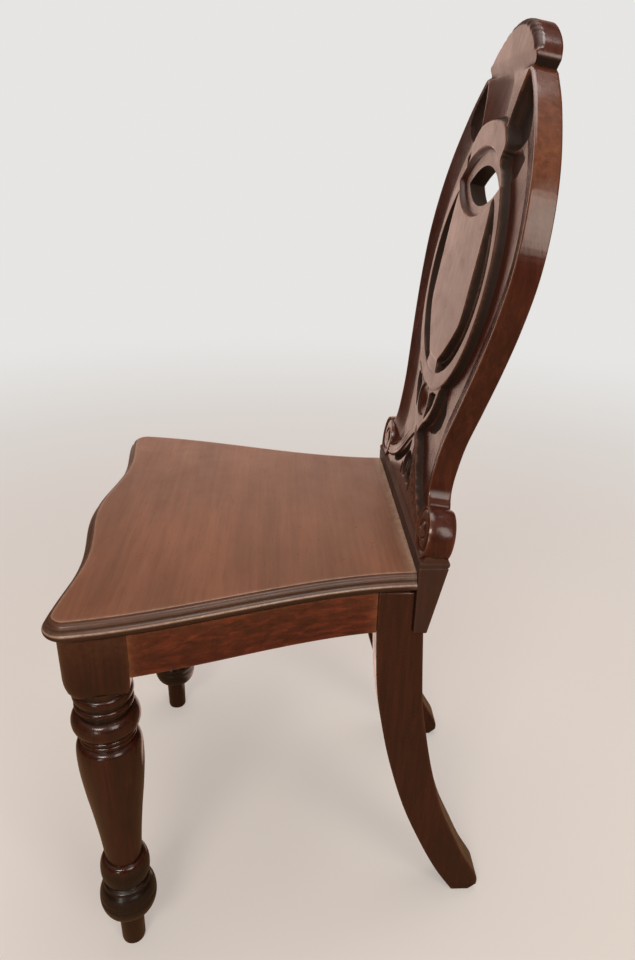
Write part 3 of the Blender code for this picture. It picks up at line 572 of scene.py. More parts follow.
front_xs = spread(-block_inner_x + fit_gap, block_inner_x - fit_gap, 70)
rail_piece(
    "serpentine_front_rail",
    [(x, rail_front(x)) for x in front_xs],
    [(x, rail_front(x) + rail_thickness) for x in front_xs],
    cross_rail_polish, "front_rail",
)
side_ys = spread(block_inner_y + fit_gap, rear_leg_front_y - fit_gap, 40)
for side, hand in hands:
    rail_piece(
        f"hollow_side_rail_{hand}",
        [(side * rail_side(y), y) for y in side_ys],
        [(side * (rail_side(y) - rail_thickness), y) for y in side_ys],
        rail_polish, f"side_rail_{hand}",
    )
back_xs = spread(-rear_leg_inner_x + fit_gap, rear_leg_inner_x - fit_gap, 4)
rail_piece(
    "plain_back_rail",
    [(x, seat_rear_y) for x in back_xs],
    [(x, seat_rear_y - rail_thickness) for x in back_xs],
    cross_rail_polish, "back_rail",
)

# Turned front legs
# Each is one piece of mahogany: a square block whose two show faces follow the rails, turned on a
# lathe below it into beads, a big ring, a tapering vase, a torus, a bulb and a peg foot.

block_height = 0.066
block_bottom = rail_top - block_height
block_radius = 0.018
turning_top = block_bottom + 0.004
# (centre height, half height, root radius, crown radius) of each half-round moulding
upper_beads = (
    (0.3455, 0.0054, 0.0255, 0.0282),
    (0.3340, 0.0031, 0.0255, 0.0276),
    (0.3146, 0.0110, 0.0252, 0.0322),
    (0.2995, 0.0022, 0.0250, 0.0266),
    (0.2945, 0.0022, 0.0250, 0.0266),
)
# (height, radius) down the vase, the neck under the torus, the bulb and the peg
vase_line = (
    (0.2915, 0.0252), (0.2893, 0.0285), (0.2850, 0.0305), (0.2755, 0.0314), (0.2545, 0.0309),
    (0.2241, 0.0280), (0.1962, 0.0245), (0.1635, 0.0210), (0.1380, 0.0190), (0.1305, 0.0187),
)
torus = (0.1137, 0.0165, 0.0196, 0.0254)
neck_line = ((0.0962, 0.0212), (0.0952, 0.0231), (0.0948, 0.0236), (0.0934, 0.0238), (0.0928, 0.0233))
bulb_line = (
    (0.0922, 0.0234), (0.0905, 0.0243), (0.0865, 0.0269), (0.0800, 0.0290), (0.0720, 0.0297),
    (0.0655, 0.0291), (0.0600, 0.0276), (0.0550, 0.0251), (0.0509, 0.0214), (0.0482, 0.0172),
    (0.0468, 0.0137),
)
peg_line = ((0.0462, 0.0131), (0.0030, 0.0125), (0.0008, 0.0120), (0.0, 0.0111), (0.0, 0.0))
incised_heights = (0.0765, 0.0735)
incised_half, incised_depth = 0.0007, 0.0005
blackened_band = (0.0440, 0.1290)


def smooth_line(points, steps):
    """A smooth curve through the points, with the given steps between each pair."""
    padded = [points[0], *points, points[-1]]
    line = []
    for before, start, stop, after in zip(padded, padded[1:], padded[2:], padded[3:]):
        a, b, c, d = (Vector(p) for p in (before, start, stop, after))
        line += interpolate_bezier(b, b + (c - a) / 6, c - (d - b) / 6, c, steps + 1)[:-1]
    return [tuple(p) for p in line] + [tuple(points[-1])]


def half_round(centre, half, root, crown, steps=10):
    """A half-round moulding as (height, radius) points from top to bottom."""
    return [
        (centre + half * math.sin(a), root + (crown - root) * math.cos(a))
        for a in spread(math.pi / 2, -math.pi / 2, steps)
    ]


def turning_line():
    """(height, radius) from inside the block down to the middle of the peg's end."""
    line = [(turning_top, 0.0), (turning_top, upper_beads[0][2])]
    for bead in upper_beads:
        line += half_round(*bead)
    line += smooth_line(vase_line, 5)
    line += half_round(*torus, steps=16)
    line += neck_line
    for height, radius in smooth_line(bulb_line, 5):
        cut = any(abs(height - mark) < incised_half for mark in incised_heights)
        line.append((height, radius - incised_depth * cut))
    return [*line, *peg_line]


def start_tree(name, inputs):
    """A geometry-nodes tree with an input of each name and kind, and the values they bring in."""
    tree = bpy.data.node_groups.new(name, "GeometryNodeTree")
    for label, kind in inputs.items():
        tree.interface.new_socket(label, in_out="INPUT", socket_type=f"NodeSocket{kind}")
    tree.interface.new_socket("Made", in_out="OUTPUT", socket_type="NodeSocketGeometry")
    return tree, add_node(tree, "NodeGroupInput").outputs


def end_tree(tree, made, finish):
    """Ends a geometry-nodes tree in real geometry that wears the finish."""
    realised = add_node(tree, "GeometryNodeRealizeInstances", {0: made})
    dressed = add_node(tree, "GeometryNodeSetMaterial", {"Geometry": realised, "Material": finish})
    add_node(tree, "NodeGroupOutput", {0: dressed})
    return tree


def lathe_tree():
    """Geometry nodes that turn a profile, its points in order, about Z."""
    tree, given = start_tree(
        "lathe", {"Profile": "Geometry", "Sides": "Int", "Stations": "Int", "Polish": "Material"}
    )
    columns = add_node(tree, "ShaderNodeMath", {0: given["Sides"], 1: 1.0}, operation="ADD")
    grid = add_node(
        tree, "GeometryNodeMeshGrid",
        {"Size X": 1.0, "Size Y": 1.0, "Vertices X": columns, "Vertices Y": given["Stations"]},
    )
    where = add_node(tree, "GeometryNodeInputPosition")
    split = add_node(tree, "ShaderNodeSeparateXYZ", {0: where}).outputs
    gaps = add_node(tree, "ShaderNodeMath", {0: given["Stations"], 1: 1.0}, operation="SUBTRACT")
    half_up = add_node(tree, "ShaderNodeMath", {0: split["Y"], 1: 0.5}, operation="ADD")
    station = add_node(tree, "ShaderNodeMath", {0: half_up, 1: gaps}, operation="MULTIPLY")
    whole = add_node(tree, "ShaderNodeMath", {0: station}, operation="ROUND")
    reading = add_node(
        tree, "GeometryNodeSampleIndex",
        {"Geometry": given["Profile"], "Value": where, "Index": whole}, data_type="FLOAT_VECTOR",
    )
    point = add_node(tree, "ShaderNodeSeparateXYZ", {0: reading}).outputs
    angle = add_node(tree, "ShaderNodeMath", {0: split["X"], 1: 2 * math.pi}, operation="MULTIPLY")
    spot = {2: point["Z"]}
    for axis, operation in enumerate(("COSINE", "SINE")):
        wave = add_node(tree, "ShaderNodeMath", {0: angle}, operation=operation)
        spot[axis] = add_node(tree, "ShaderNodeMath", {0: wave, 1: point["X"]}, operation="MULTIPLY")
    around = add_node(tree, "ShaderNodeCombineXYZ", spot)
    bent = add_node(
        tree, "GeometryNodeSetPosition", {"Geometry": grid.outputs["Mesh"], "Position": around}
    )
    closed = add_node(tree, "GeometryNodeMergeByDistance", {"Geometry": bent, "Distance": 0.00002})
    return end_tree(tree, closed, given["Polish"])


def finished(name, work, *helpers):
    """The plain mesh of an object with its modifiers; it and its helpers are then thrown away."""
    graph = bpy.context.evaluated_depsgraph_get()
    mesh = bpy.data.meshes.new_from_object(work.evaluated_get(graph))
    for spent in (work, *helpers):
        bpy.data.objects.remove(spent)
    mesh.name = name
    return mesh


def grown(name, seed_mesh, tree, values):
    """The plain mesh that a geometry-nodes tree makes of a seed mesh with the named values."""
    seed = add_object(name, seed_mesh)
    modifier = seed.modifiers.new(name, "NODES")
    modifier.node_group = tree
    for item in tree.interface.items_tree:
        if item.item_type == "SOCKET" and item.in_out == "INPUT" and item.name in values:
            modifier[item.identifier] = values[item.name]
    seed.update_tag()
    return finished(name, seed)


def outward(mesh):
    """Points every face of a closed mesh outwards, after its doubles are merged."""
    bm = bmesh.new()
    bm.from_mesh(mesh)
    bmesh.ops.remove_doubles(bm, verts=bm.verts[:], dist=0.00001)
    bmesh.ops.dissolve_degenerate(bm, edges=bm.edges[:], dist=0.000005)
    bmesh.ops.recalc_face_normals(bm, faces=bm.faces[:])
    bm.to_mesh(mesh)
    bm.free()
    return mesh


leg_polish = french_polished(
    "turned_mahogany_dark", "#200d07", "#2f140a", "#3f1d10", grain=(1, 1, 0.06), roughness=0.20,
    wear_and_highlight="#5e3928",
)
turning_points = turning_line()
turning_sides = 72
profile_mesh = mesh_of(
    "turning_profile",
    [(radius, 0, height) for height, radius in turning_points],
    edges=[(i, i + 1) for i in range(len(turning_points) - 1)],
)
lathe_values = {"Sides": turning_sides, "Stations": len(turning_points), "Polish": leg_polish}
turning_mesh = outward(grown("turning", profile_mesh, lathe_tree(), lathe_values))


def toward(plan, centre, share):
    """The plan drawn in towards its centre by a share of its size."""
    cx, cy = centre
    return [(cx + (x - cx) * share, cy + (y - cy) * share) for x, y in plan]


def joined(name, target, helper, operation):
    """The mesh of two closed meshes united or cut, with the EXACT solver."""
    keep, tool = add_object(name, target), add_object(f"{name}_tool", helper)
    modifier = keep.modifiers.new(operation.lower(), "BOOLEAN")
    modifier.operation, modifier.solver, modifier.object = operation, "EXACT", tool
    return finished(name, keep, tool)


block_line = half_outline(rail_side, rail_front, block_radius, block_inner_x, block_inner_y, 14)
block_line.append((block_inner_x, block_inner_y))
# (share of the block's height, share of its width) where its lower end is rounded in
block_shares = (
    (0.00, 0.84), (0.03, 0.885), (0.07, 0.93), (0.13, 0.965), (0.20, 0.987), (0.28, 1.0),
    (0.6, 1.0), (1.0, 1.0),
)

for side, hand in hands:
    rings = []
    for rise, size in block_shares:
        height = block_bottom + rise * (rail_top - block_bottom)
        ring = toward(block_line, (front_leg_x, front_leg_y), size)
        rings.append([(side * x, y, height) for x, y in ring])
    block = solid_from_rings(f"leg_block_{hand}", rings)
    shaft = turning_mesh.copy()
    shaft.transform(Matrix.Translation((side * front_leg_x, front_leg_y, 0)))
    leg_mesh = joined(f"turned_leg_{hand}", block, shaft, "UNION")
    show(f"turned_leg_{hand}", leg_mesh, leg_polish, [f"front_leg_{hand}"])
    darken(leg_mesh, *blackened_band, 0.95, 0.010)

# Sabre rear legs
# Each is sawn from a 34 mm mahogany plank in one sweep backwards, with its arrises eased and
# rubbed. Above the shoulder it is cut back to seat the foot of the carved back.

shoulder_drop = 0.0645
shoulder_height = seat_top - shoulder_drop
toe_rear_y = 0.220
sabre_sweep = toe_rear_y - rear_leg_front_y
# (reach as a share of the sweep, height as a share of the shoulder's) down the front and up the rear
sabre_front_shares = (
    (0.0, 1.0), (0.026, 0.828), (0.072, 0.707), (0.163, 0.546), (0.306, 0.365),
    (0.480, 0.207), (0.634, 0.090), (0.786, 0.0),
)
sabre_rear_shares = (
    (0.935, 0.0), (1.0, 0.022), (0.988, 0.060), (0.860, 0.146), (0.759, 0.230), (0.624, 0.350),
    (0.512, 0.501), (0.435, 0.639), (0.380, 0.766), (0.335, 1.0),
)


def sabre_outline():
    def place(share):
        return (rear_leg_front_y + share[0] * sabre_sweep, share[1] * shoulder_height)

    front = smooth_line([place(s) for s in sabre_front_shares], 7)
    rear = [place(sabre_rear_shares[0])]
    rear += smooth_line([place(s) for s in sabre_rear_shares[1:]], 7)
    top = [(seat_rear_y, shoulder_height), (seat_rear_y, rail_top), (rear_leg_front_y, rail_top)]
    return front + rear + top


sabre_polish = french_polished(
    "sabre_mahogany_polished", "#29110a", "#34170d", "#422013", grain=(1, 1, 0.06), roughness=0.25,
    wear_and_highlight="#6f4331",
)
sabre_round, flat_rim = 0.0018, 0.0012
outline = sabre_outline()
middle_x = (rear_leg_inner_x + rear_leg_outer_x) / 2
reaches = [half * rear_leg_thickness / 2 for half in (1, 0.80, 0.68, 0, -0.68, -0.80, -1)]
for side, hand in hands:
    sabre_mesh = solid_from_rings(
        f"sabre_leg_{hand}",
        [[(side * (middle_x + reach), y, z) for y, z in outline] for reach in reaches],
    )
    bm = bmesh.new()
    bm.from_mesh(sabre_mesh)
    sharp = [e for e in bm.edges if e.calc_face_angle_signed(0.0) > math.radians(50)]
    bmesh.ops.bevel(
        bm, geom=sharp, offset=sabre_round, segments=3, profile=0.5, affect="EDGES",
        clamp_overlap=True,
    )
    # Two narrow rims inside each flat side keep the rubbing of its arris off the middle
    flat_sides = [f for f in bm.faces if len(f.verts) > 40]
    for _ in range(2):
        bmesh.ops.inset_region(bm, faces=flat_sides, thickness=flat_rim, use_even_offset=False)
    bm.to_mesh(sabre_mesh)
    bm.free()
    show(f"sabre_leg_{hand}", sabre_mesh, sabre_polish, [f"rear_leg_{hand}"])

# Carved back
# One 22 mm mahogany plank, raked back, sawn to a balloon with a crest, a hand hole through it
# and its face carved: a hollow field, a raised roundel, a fluted strap and leaves below.

back_rake = math.radians(9.62)
plank_thickness = 0.0222
back_half = 0.3386 / 2
back_length = 0.470 / math.cos(back_rake)
back_frame = Matrix.Translation((0, seat_rear_y + fit_gap, seat_top))
back_frame @= Matrix.Rotation(-back_rake, 4, "X")
# (half width, length) shares up one side of the balloon, its nick and its crest
balloon_shares = (
    (0.700, 0.014), (0.700, 0.113), (0.691, 0.127), (0.655, 0.140), (0.632, 0.160), (0.629, 0.192),
    (0.663, 0.255), (0.774, 0.340), (0.882, 0.426), (0.964, 0.511), (1.000, 0.596),
    (0.9545, 0.681), (0.833, 0.766), (0.6255, 0.851), (0.4325, 0.9065),
)
nick_share = (0.391, 0.9130)
crest_shares = (
    (0.4206, 0.926), (0.411, 0.936), (0.389, 0.948), (0.337, 0.963), (0.2705, 0.9765),
    (0.2085, 0.9865), (0.1406, 0.9945), (0.059, 0.9990), (0.0, 1.0),
)


def up(height):
    """Distance up the plank for a height above the floor, on its front face."""
    return (height - seat_top) / math.cos(back_rake)


def placed(outline):
    """(x, height) points in millimetres as points of the plank's face, in metres."""
    return [(x / 1000, up(h / 1000)) for x, h in outline]


balloon_points, crest_points, (nick,) = [
    [(wide * back_half, long * back_length) for wide, long in shares]
    for shares in (balloon_shares, crest_shares, [nick_share])
]
crest_line = smooth_line(crest_points, 6)
edge_line = smooth_line(balloon_points, 8) + [nick] + crest_line
edge_widths, edge_heights = np.array(edge_line).T

# Rows up the plank, closer together where the crest closes
row_pitch, column_count, crest_rows = 0.00075, 440, 70
plank_triangles = 185000
low_row, nick_row = edge_heights[0], nick[1]
body_rows = np.linspace(low_row, nick_row, int((nick_row - low_row) / row_pitch))
crest_turn = np.linspace(0, math.pi / 2, crest_rows + 1)[1:]
crest_close = 0.9995
crest_heights = nick_row + (back_length - nick_row) * np.sin(crest_turn) * crest_close
row_heights = np.concatenate([body_rows, crest_heights])
row_widths = np.interp(row_heights, edge_heights, edge_widths)
face_x = row_widths[:, None] * np.linspace(-1, 1, column_count)[None, :]
face_z = np.repeat(row_heights[:, None], column_count, axis=1)
off_centre = np.abs(face_x)


def distance_to(line, closed=False):
    """Distance from every point of the face to a line of points."""
    points = np.array(line + [line[0]] if closed else line)
    nearest = np.full(face_x.shape, 1.0)
    for (ax, az), (bx, bz) in zip(points, points[1:]):
        dx, dz = bx - ax, bz - az
        share = ((face_x - ax) * dx + (face_z - az) * dz) / max(dx * dx + dz * dz, 1e-12)
        share = np.clip(share, 0, 1)
        nearest = np.minimum(nearest, np.hypot(face_x - ax - share * dx, face_z - az - share * dz))
    return nearest


def inside(outline):
    """How deep every point of the face lies inside a closed outline; negative outside it."""
    points = np.array(outline + [outline[0]])
    within = np.zeros(face_x.shape, bool)
    for (ax, az), (bx, bz) in zip(points, points[1:]):
        if az == bz:
            continue
        crosses = (az > face_z) != (bz > face_z)
        within ^= crosses & (face_x < (bx - ax) * (face_z - az) / (bz - az) + ax)
    return np.where(within, 1, -1) * distance_to(outline, closed=True)


def soft_step(value):
    """0 below zero, 1 above one, and smooth between."""
    share = np.clip(value, 0, 1)
    return share * share * (3 - 2 * share)


# Widths of the sloping walls that the gouge leaves round raised parts, pockets and shallow hollows
step_wall, pocket_wall, hollow_wall = 0.0014, 0.0016, 0.0028


def worked(depth, new_depth, within, wall=step_wall):
    """The face with a new depth inside an outline, across a sloping wall of that width."""
    share = soft_step(within / wall + 0.5)
    return depth * (1 - share) + new_depth * share


ground_darkening = np.zeros(face_x.shape)


def both_sides(outline):
    """An outline and its mirror image."""
    return (outline, mirrored(outline))


def pocket(depth, outlines, pocket_depth, wall=pocket_wall, darkening=0.85):
    """A recess cut inside each of the outlines, its ground painted dark."""
    for outline in outlines:
        within = inside(outline)
        np.maximum(ground_darkening, darkening * soft_step(within / pocket_wall), out=ground_darkening)
        depth = worked(depth, pocket_depth, within, wall)
    return depth


# The hollow field: a flat arris, then a hollow that deepens to flat ground
arris_width, cove_width, ground_depth = 0.0008, 0.0274, 0.0066
field_foot, field_fade = up(0.472), 0.016
edge_distance = distance_to(edge_line + mirrored(edge_line))
field = np.clip((edge_distance - arris_width) / cove_width, 0, 1)
depth = ground_depth * (1 - (1 - field) ** 1.15)
depth *= soft_step((face_z - field_foot) / field_fade)

# The strap from the roundel up to the crest: flat sides, a shallow flute, the crest above it
strap_line = placed([(44, 800), (48, 829), (56, 850), (67, 868), (300, 874)])
strap_half = np.interp(face_z, [p[1] for p in strap_line], [p[0] for p in strap_line])
in_strap = np.minimum(strap_half - off_centre, face_z - strap_line[0][1])
strap_arris, flute_depth, flute_top, flute_fade = 0.0022, 0.0082, up(0.861), 0.020
across_strap = np.clip(off_centre / (strap_half - strap_arris), 0, 1)
flute = flute_depth * (1 - across_strap**1.25)
flute *= 1 - soft_step((face_z - flute_top) / flute_fade)
depth = worked(depth, flute, in_strap, pocket_wall)

# The roundel: a raised disc with a cusp and a shoulder on each side, and an arch at the strap
roundel_centre, roundel_rise, roundel_rim = (0.0, up(0.695)), 0.0012, 0.0006


def ring_arc(half_width, half_height, start, stop, steps, centre=roundel_centre):
    """An arc of an ellipse, its angle in degrees clockwise from the top."""
    return [
        (
            centre[0] + half_width * math.sin(math.radians(a)),
            centre[1] + half_height * math.cos(math.radians(a)),
        )
        for a in spread(start, stop, steps)
    ]


shoulder = placed([(57, 799), (61, 806), (59, 813), (51, 820), (47, 823), (36, 828), (18, 831), (0, 832)])
roundel = ring_arc(half_width=0.114, half_height=0.1166, start=32, stop=328, steps=90)
roundel = smooth_line(shoulder[::-1], 3) + roundel + smooth_line(mirrored(shoulder)[::-1], 3)[:-1]
in_roundel = inside(roundel)
eased_rim = roundel_rim * (1 - soft_step(in_roundel / 0.003))
depth = worked(depth, eased_rim - roundel_rise, in_roundel)

# The ring's inner line and the crescents between it and the flat panel, each with a thin ridge
crescent_ground, ridge_half, ridge_rise = 0.0056, 0.0026, 0.0050
panel_rise, panel_inset = 0.0019, 0.0008
panel_edge = placed(
    [(66, 766), (68.5, 755), (70, 739), (69.5, 700), (68, 663), (57, 645), (38, 626), (20, 611)]
)
inner_line = ring_arc(half_width=0.1012, half_height=0.0968, start=43.5, stop=167, steps=40)
crescent = inner_line + smooth_line(panel_edge, 4)[::-1]
ridge_line = ring_arc(half_width=0.0855, half_height=0.0885, start=60, stop=164, steps=30)
for outline, ridge in zip(both_sides(crescent), both_sides(ridge_line)):
    depth = pocket(depth, [outline], crescent_ground, darkening=0.75)
    along_ridge = 1 - soft_step(distance_to(ridge) / ridge_half)
    depth -= np.where(inside(outline) > 0, ridge_rise * along_ridge, 0)
    ground_darkening *= 1 - 0.85 * along_ridge
panel = smooth_line(panel_edge, 4)
panel = panel + mirrored(panel)
depth = worked(depth, -panel_rise, inside(panel) - panel_inset, wall=0.0012)
# A fine line scratched under the panel, along the ring
scratch_depth, scratch_half = 0.0006, 0.0013
under_line = ring_arc(half_width=0.0955, half_height=0.0990, start=163, stop=197, steps=16)
depth += scratch_depth * (1 - soft_step(distance_to(under_line) / scratch_half))


def leaf(half_length, half_height, height, steps=24):
    """A pointed leaf between two equal arcs, lying across the plank."""
    radius = (half_length**2 + half_height**2) / (2 * half_height)
    reach = math.asin(half_length / radius)
    points = []
    for sign in (1, -1):
        for a in spread(-reach * sign, reach * sign, steps)[:-1]:
            z = sign * (radius * math.cos(a) - radius + half_height)
            points.append((radius * math.sin(a), up(height) + z))
    return points


# The leaf-shaped sinking that the hand hole is cut in, a little deeper towards its middle
sinking_depth, sinking_dip = 0.0036, 0.0010
sinking = inside(leaf(half_length=0.075, half_height=0.030, height=0.778))
depth = worked(depth, sinking_depth + sinking_dip * soft_step(sinking / 0.012), sinking, wall=0.0018)

# Spandrel pockets beside the strap, deepest against it and running out on the hollow field
spandrel = placed(
    [(66, 864), (74, 858.5), (88, 848.5), (98, 838.5), (103, 829), (97, 818), (78, 809), (60, 806),
     (63, 812), (56, 819), (50, 823), (57, 842), (62, 853)]
)
lower_spandrel = placed([(58, 803), (66, 804), (84, 806), (97, 800), (90, 789), (78, 783), (66, 790)])
spandrel_depth, run_out_rise, run_out_start, run_out_width = 0.0108, 0.0042, 0.058, 0.048
run_out = run_out_rise * soft_step((off_centre - run_out_start) / run_out_width)
depth = pocket(depth, both_sides(spandrel), spandrel_depth - run_out)
depth = pocket(depth, both_sides(lower_spandrel), pocket_depth=0.0082, wall=0.0024, darkening=0.6)

# Below the roundel: a raised knot of two stems round a dished oval, with leaf-shaped recesses
knot = placed(
    [(60, 600), (54, 590), (50, 577), (44, 565), (34, 553), (23, 545), (15, 538), (8, 529), (0, 524)]
)
knot = smooth_line(knot, 3)
in_knot = inside(knot + mirrored(knot))
knot_rise, dish_depth, dish_dip = 0.0006, 0.0016, 0.0040
depth = worked(depth, -knot_rise, np.minimum(in_knot, -in_roundel))
dish = ring_arc(
    half_width=0.0195, half_height=0.0165, start=0, stop=360, steps=30, centre=(0.0, up(0.5655))
)
in_dish = inside(dish[:-1])
depth = worked(depth, dish_depth + dish_dip * soft_step(in_dish / 0.013), in_dish)
stem_recess = placed(
    [(22, 577), (30, 581), (44, 583), (42, 574), (36, 566), (28, 558), (22, 553), (24, 565)]
)
depth = pocket(depth, both_sides(stem_recess), pocket_depth=0.0070)
leaf_recess = placed(
    [(56, 588), (66, 584), (73, 574), (68, 560), (54, 549), (38, 544), (26, 543), (38, 551), (50, 566)]
)
depth = pocket(depth, both_sides(leaf_recess), pocket_depth=0.0092, wall=0.0030)

# The C-scrolls, with the ground under them flat and three pockets cut in it
scroll_ground, scroll_rise, reed_depth = 0.0010, 0.0014, 0.0011
scroll_line = placed([(0, 533), (22, 517), (42, 499), (62, 485), (84, 475), (104, 469), (120, 469)])
scroll_line = smooth_line(scroll_line, 5)
scroll_distance = np.minimum(*[distance_to(line) for line in both_sides(scroll_line)])
under_scroll = np.interp(off_centre, *zip(*scroll_line), right=up(0.478)) - face_z
depth = np.where(under_scroll > 0, scroll_ground, depth)
scroll_half = np.interp(off_centre, [0, 0.02, 0.06, 0.12], [0.0045, 0.0060, 0.0068, 0.0052])
reed = reed_depth * np.abs(np.sin(scroll_distance / scroll_half * math.pi * 1.5))
depth = worked(depth, reed - scroll_rise, scroll_half - scroll_distance)
slot = placed(
    [(8, 515), (14, 510), (30, 496), (46, 485), (64, 475), (66, 472), (52, 475), (36, 484), (20, 496),
     (10, 505)]
)
slots = [smooth_line(outline + outline[:1], 3)[:-1] for outline in both_sides(slot)]
depth = pocket(depth, slots, pocket_depth=0.0062, wall=hollow_wall, darkening=0.5)
seed = placed([(0, 505), (7, 503), (14, 497), (19, 488), (18, 479), (11, 475), (4, 478), (0, 484)])
seed = smooth_line(seed, 3)
whole_seed = seed + mirrored(seed)[1:-1]
depth = pocket(depth, [whole_seed], pocket_depth=0.0060, wall=hollow_wall, darkening=0.5)
kernel = placed([(1.2, 500), (4, 497), (6.5, 490), (5.5, 483), (2.5, 480), (0.8, 488)])
drop = placed([(24, 484), (27, 480), (27, 474), (24.5, 470), (22, 474), (22.5, 480)])
for shape, shape_depth in ((kernel, 0.0012), (drop, 0.0036)):
    for outline in both_sides(shape):
        depth = worked(depth, shape_depth, inside(outline))

# The crest's upper edge rolls back from a step above its ends, and small lobes are nicked in it
crest_roll, lobe_count, lobe_depth = 0.0066, 22, 0.0018
step_z, lobes_z, crest_middle = up(0.8795), up(0.888), up(0.843)
over_step = soft_step((face_z - step_z) / 0.0016)
crest_distance = distance_to(crest_line + mirrored(crest_line)[1:])
near_edge = np.clip(1 - crest_distance / crest_roll, 0, 1)
roll = crest_roll * 0.95 * (1 - np.sqrt(1 - near_edge**2 * 0.97))
around = np.arctan2(face_x, face_z - crest_middle)
lobe = np.abs(np.sin(lobe_count * around + 0.9 * np.sin(7 * around)))
lobed = soft_step((face_z - lobes_z) / 0.006) * soft_step(near_edge * 1.8)
nicks = (1 - lobe) ** 1.5 * lobed
depth += (roll + lobe_depth * nicks) * over_step


def softened(values, passes):
    """The grid of values blurred by small steps in both directions."""
    for _ in range(passes):
        padded = np.pad(values, 1, mode="edge")
        values = (padded[:-2, 1:-1] + padded[2:, 1:-1] + padded[1:-1, :-2] + padded[1:-1, 2:]) / 8
        values = values + padded[1:-1, 1:-1] / 2
    return values


# Every arris of the carving is a little rounded by scraping and rubbing
depth = softened(depth, 3)

# The pockets, their walls and the ground sunk below its surroundings are painted dark, as old
# wax and as painted shade, and the proud edges are painted pale, as wear and painted highlight
across_pitch = np.gradient(face_x, axis=1) + 1e-9
steepness = np.hypot(np.gradient(depth, axis=1) / across_pitch, np.gradient(depth, row_heights, axis=0))
sunk_below = np.clip((depth - softened(depth, 60) - 0.0006) / 0.0018, 0, 1)
walls = np.clip((steepness - 0.55) / 0.5, 0, 1)
pockets = np.clip((depth - 0.0080) / 0.0012, 0, 1)
on_crest = soft_step((face_z - up(0.874)) / 0.003)
pocket_shade_and_wax = np.maximum(np.maximum(sunk_below, ground_darkening), np.maximum(walls, pockets))
pocket_shade_and_wax *= (1 - on_crest) * (1 - 0.65 * soft_step(sinking / 0.002 + 1))
# Painted shade in the crest's nicks; its roll is painted darker and its gloss dulled
pocket_shade_and_wax = np.maximum(pocket_shade_and_wax, nicks * over_step)
pocket_shade_and_wax = np.maximum(pocket_shade_and_wax, 0.45 * soft_step(3 * near_edge) * over_step)
pocket_shade_and_wax = softened(pocket_shade_and_wax, 2)
proud_wear_and_highlight = softened(np.clip((softened(depth, 12) - depth - 0.0002) / 0.0005, 0, 1), 1)
proud_wear_and_highlight = proud_wear_and_highlight * (1 - on_crest)


def carved_plank():
    """The plank's mesh: a worked face, eased sides and a flat back, row by row, its flat parts
    thinned out afterwards."""
    soft, rear_column_count = 0.0009, 11
    side_shares = np.array([0, 0.07, 0.16, 0.30, 0.70, 0.84, 0.93, 1])
    rear_columns = np.linspace(1, -1, rear_column_count + 2)[1:-1]
    rows = len(row_heights)
    per_row = column_count + 2 * (len(side_shares) + 1) + len(rear_columns)
    points = np.zeros((rows, per_row, 3))
    for i in range(rows):
        width, height = row_widths[i], row_heights[i]
        lip = min(soft, width * 0.3)
        face = np.stack([face_x[i] * (width - lip) / width, depth[i], face_z[i]], 1)
        front = min(depth[i, -1], 0.7 * plank_thickness) + soft
        side_depths = front + (plank_thickness - soft - front) * side_shares
        near = [(width, y, height) for y in side_depths]
        near.append((width - lip, plank_thickness, height))
        rear = [(c * (width - lip), plank_thickness, height) for c in rear_columns]
        far = [(-x, y, z) for x, y, z in reversed(near)]
        points[i] = np.concatenate([face, near, rear, far])
    index = np.arange(rows * per_row).reshape(rows, per_row)
    low, high = index[:-1], index[1:]
    quads = np.stack(
        [low, np.roll(low, -1, axis=1), np.roll(high, -1, axis=1), high], axis=-1
    ).reshape(-1, 4)
    ends = [index[0].tolist()[::-1], index[-1].tolist()]
    mesh = mesh_of("carved_back", points.reshape(-1, 3).tolist(), faces=quads.tolist() + ends)
    plank = add_object("carved_back", outward(mesh))
    thinned = plank.vertex_groups.new(name="thinned")
    widths = np.interp([v.co.z for v in mesh.vertices], row_heights, row_widths)
    open_face = [v.index for v, width in zip(mesh.vertices, widths) if abs(v.co.x) < width - 1.5 * soft]
    thinned.add(open_face, 1.0, "REPLACE")
    modifier = plank.modifiers.new("thinning", "DECIMATE")
    modifier.ratio = plank_triangles / (2 * len(mesh.polygons))
    modifier.vertex_group, modifier.vertex_group_factor = "thinned", 100.0
    return finished("carved_back", plank)


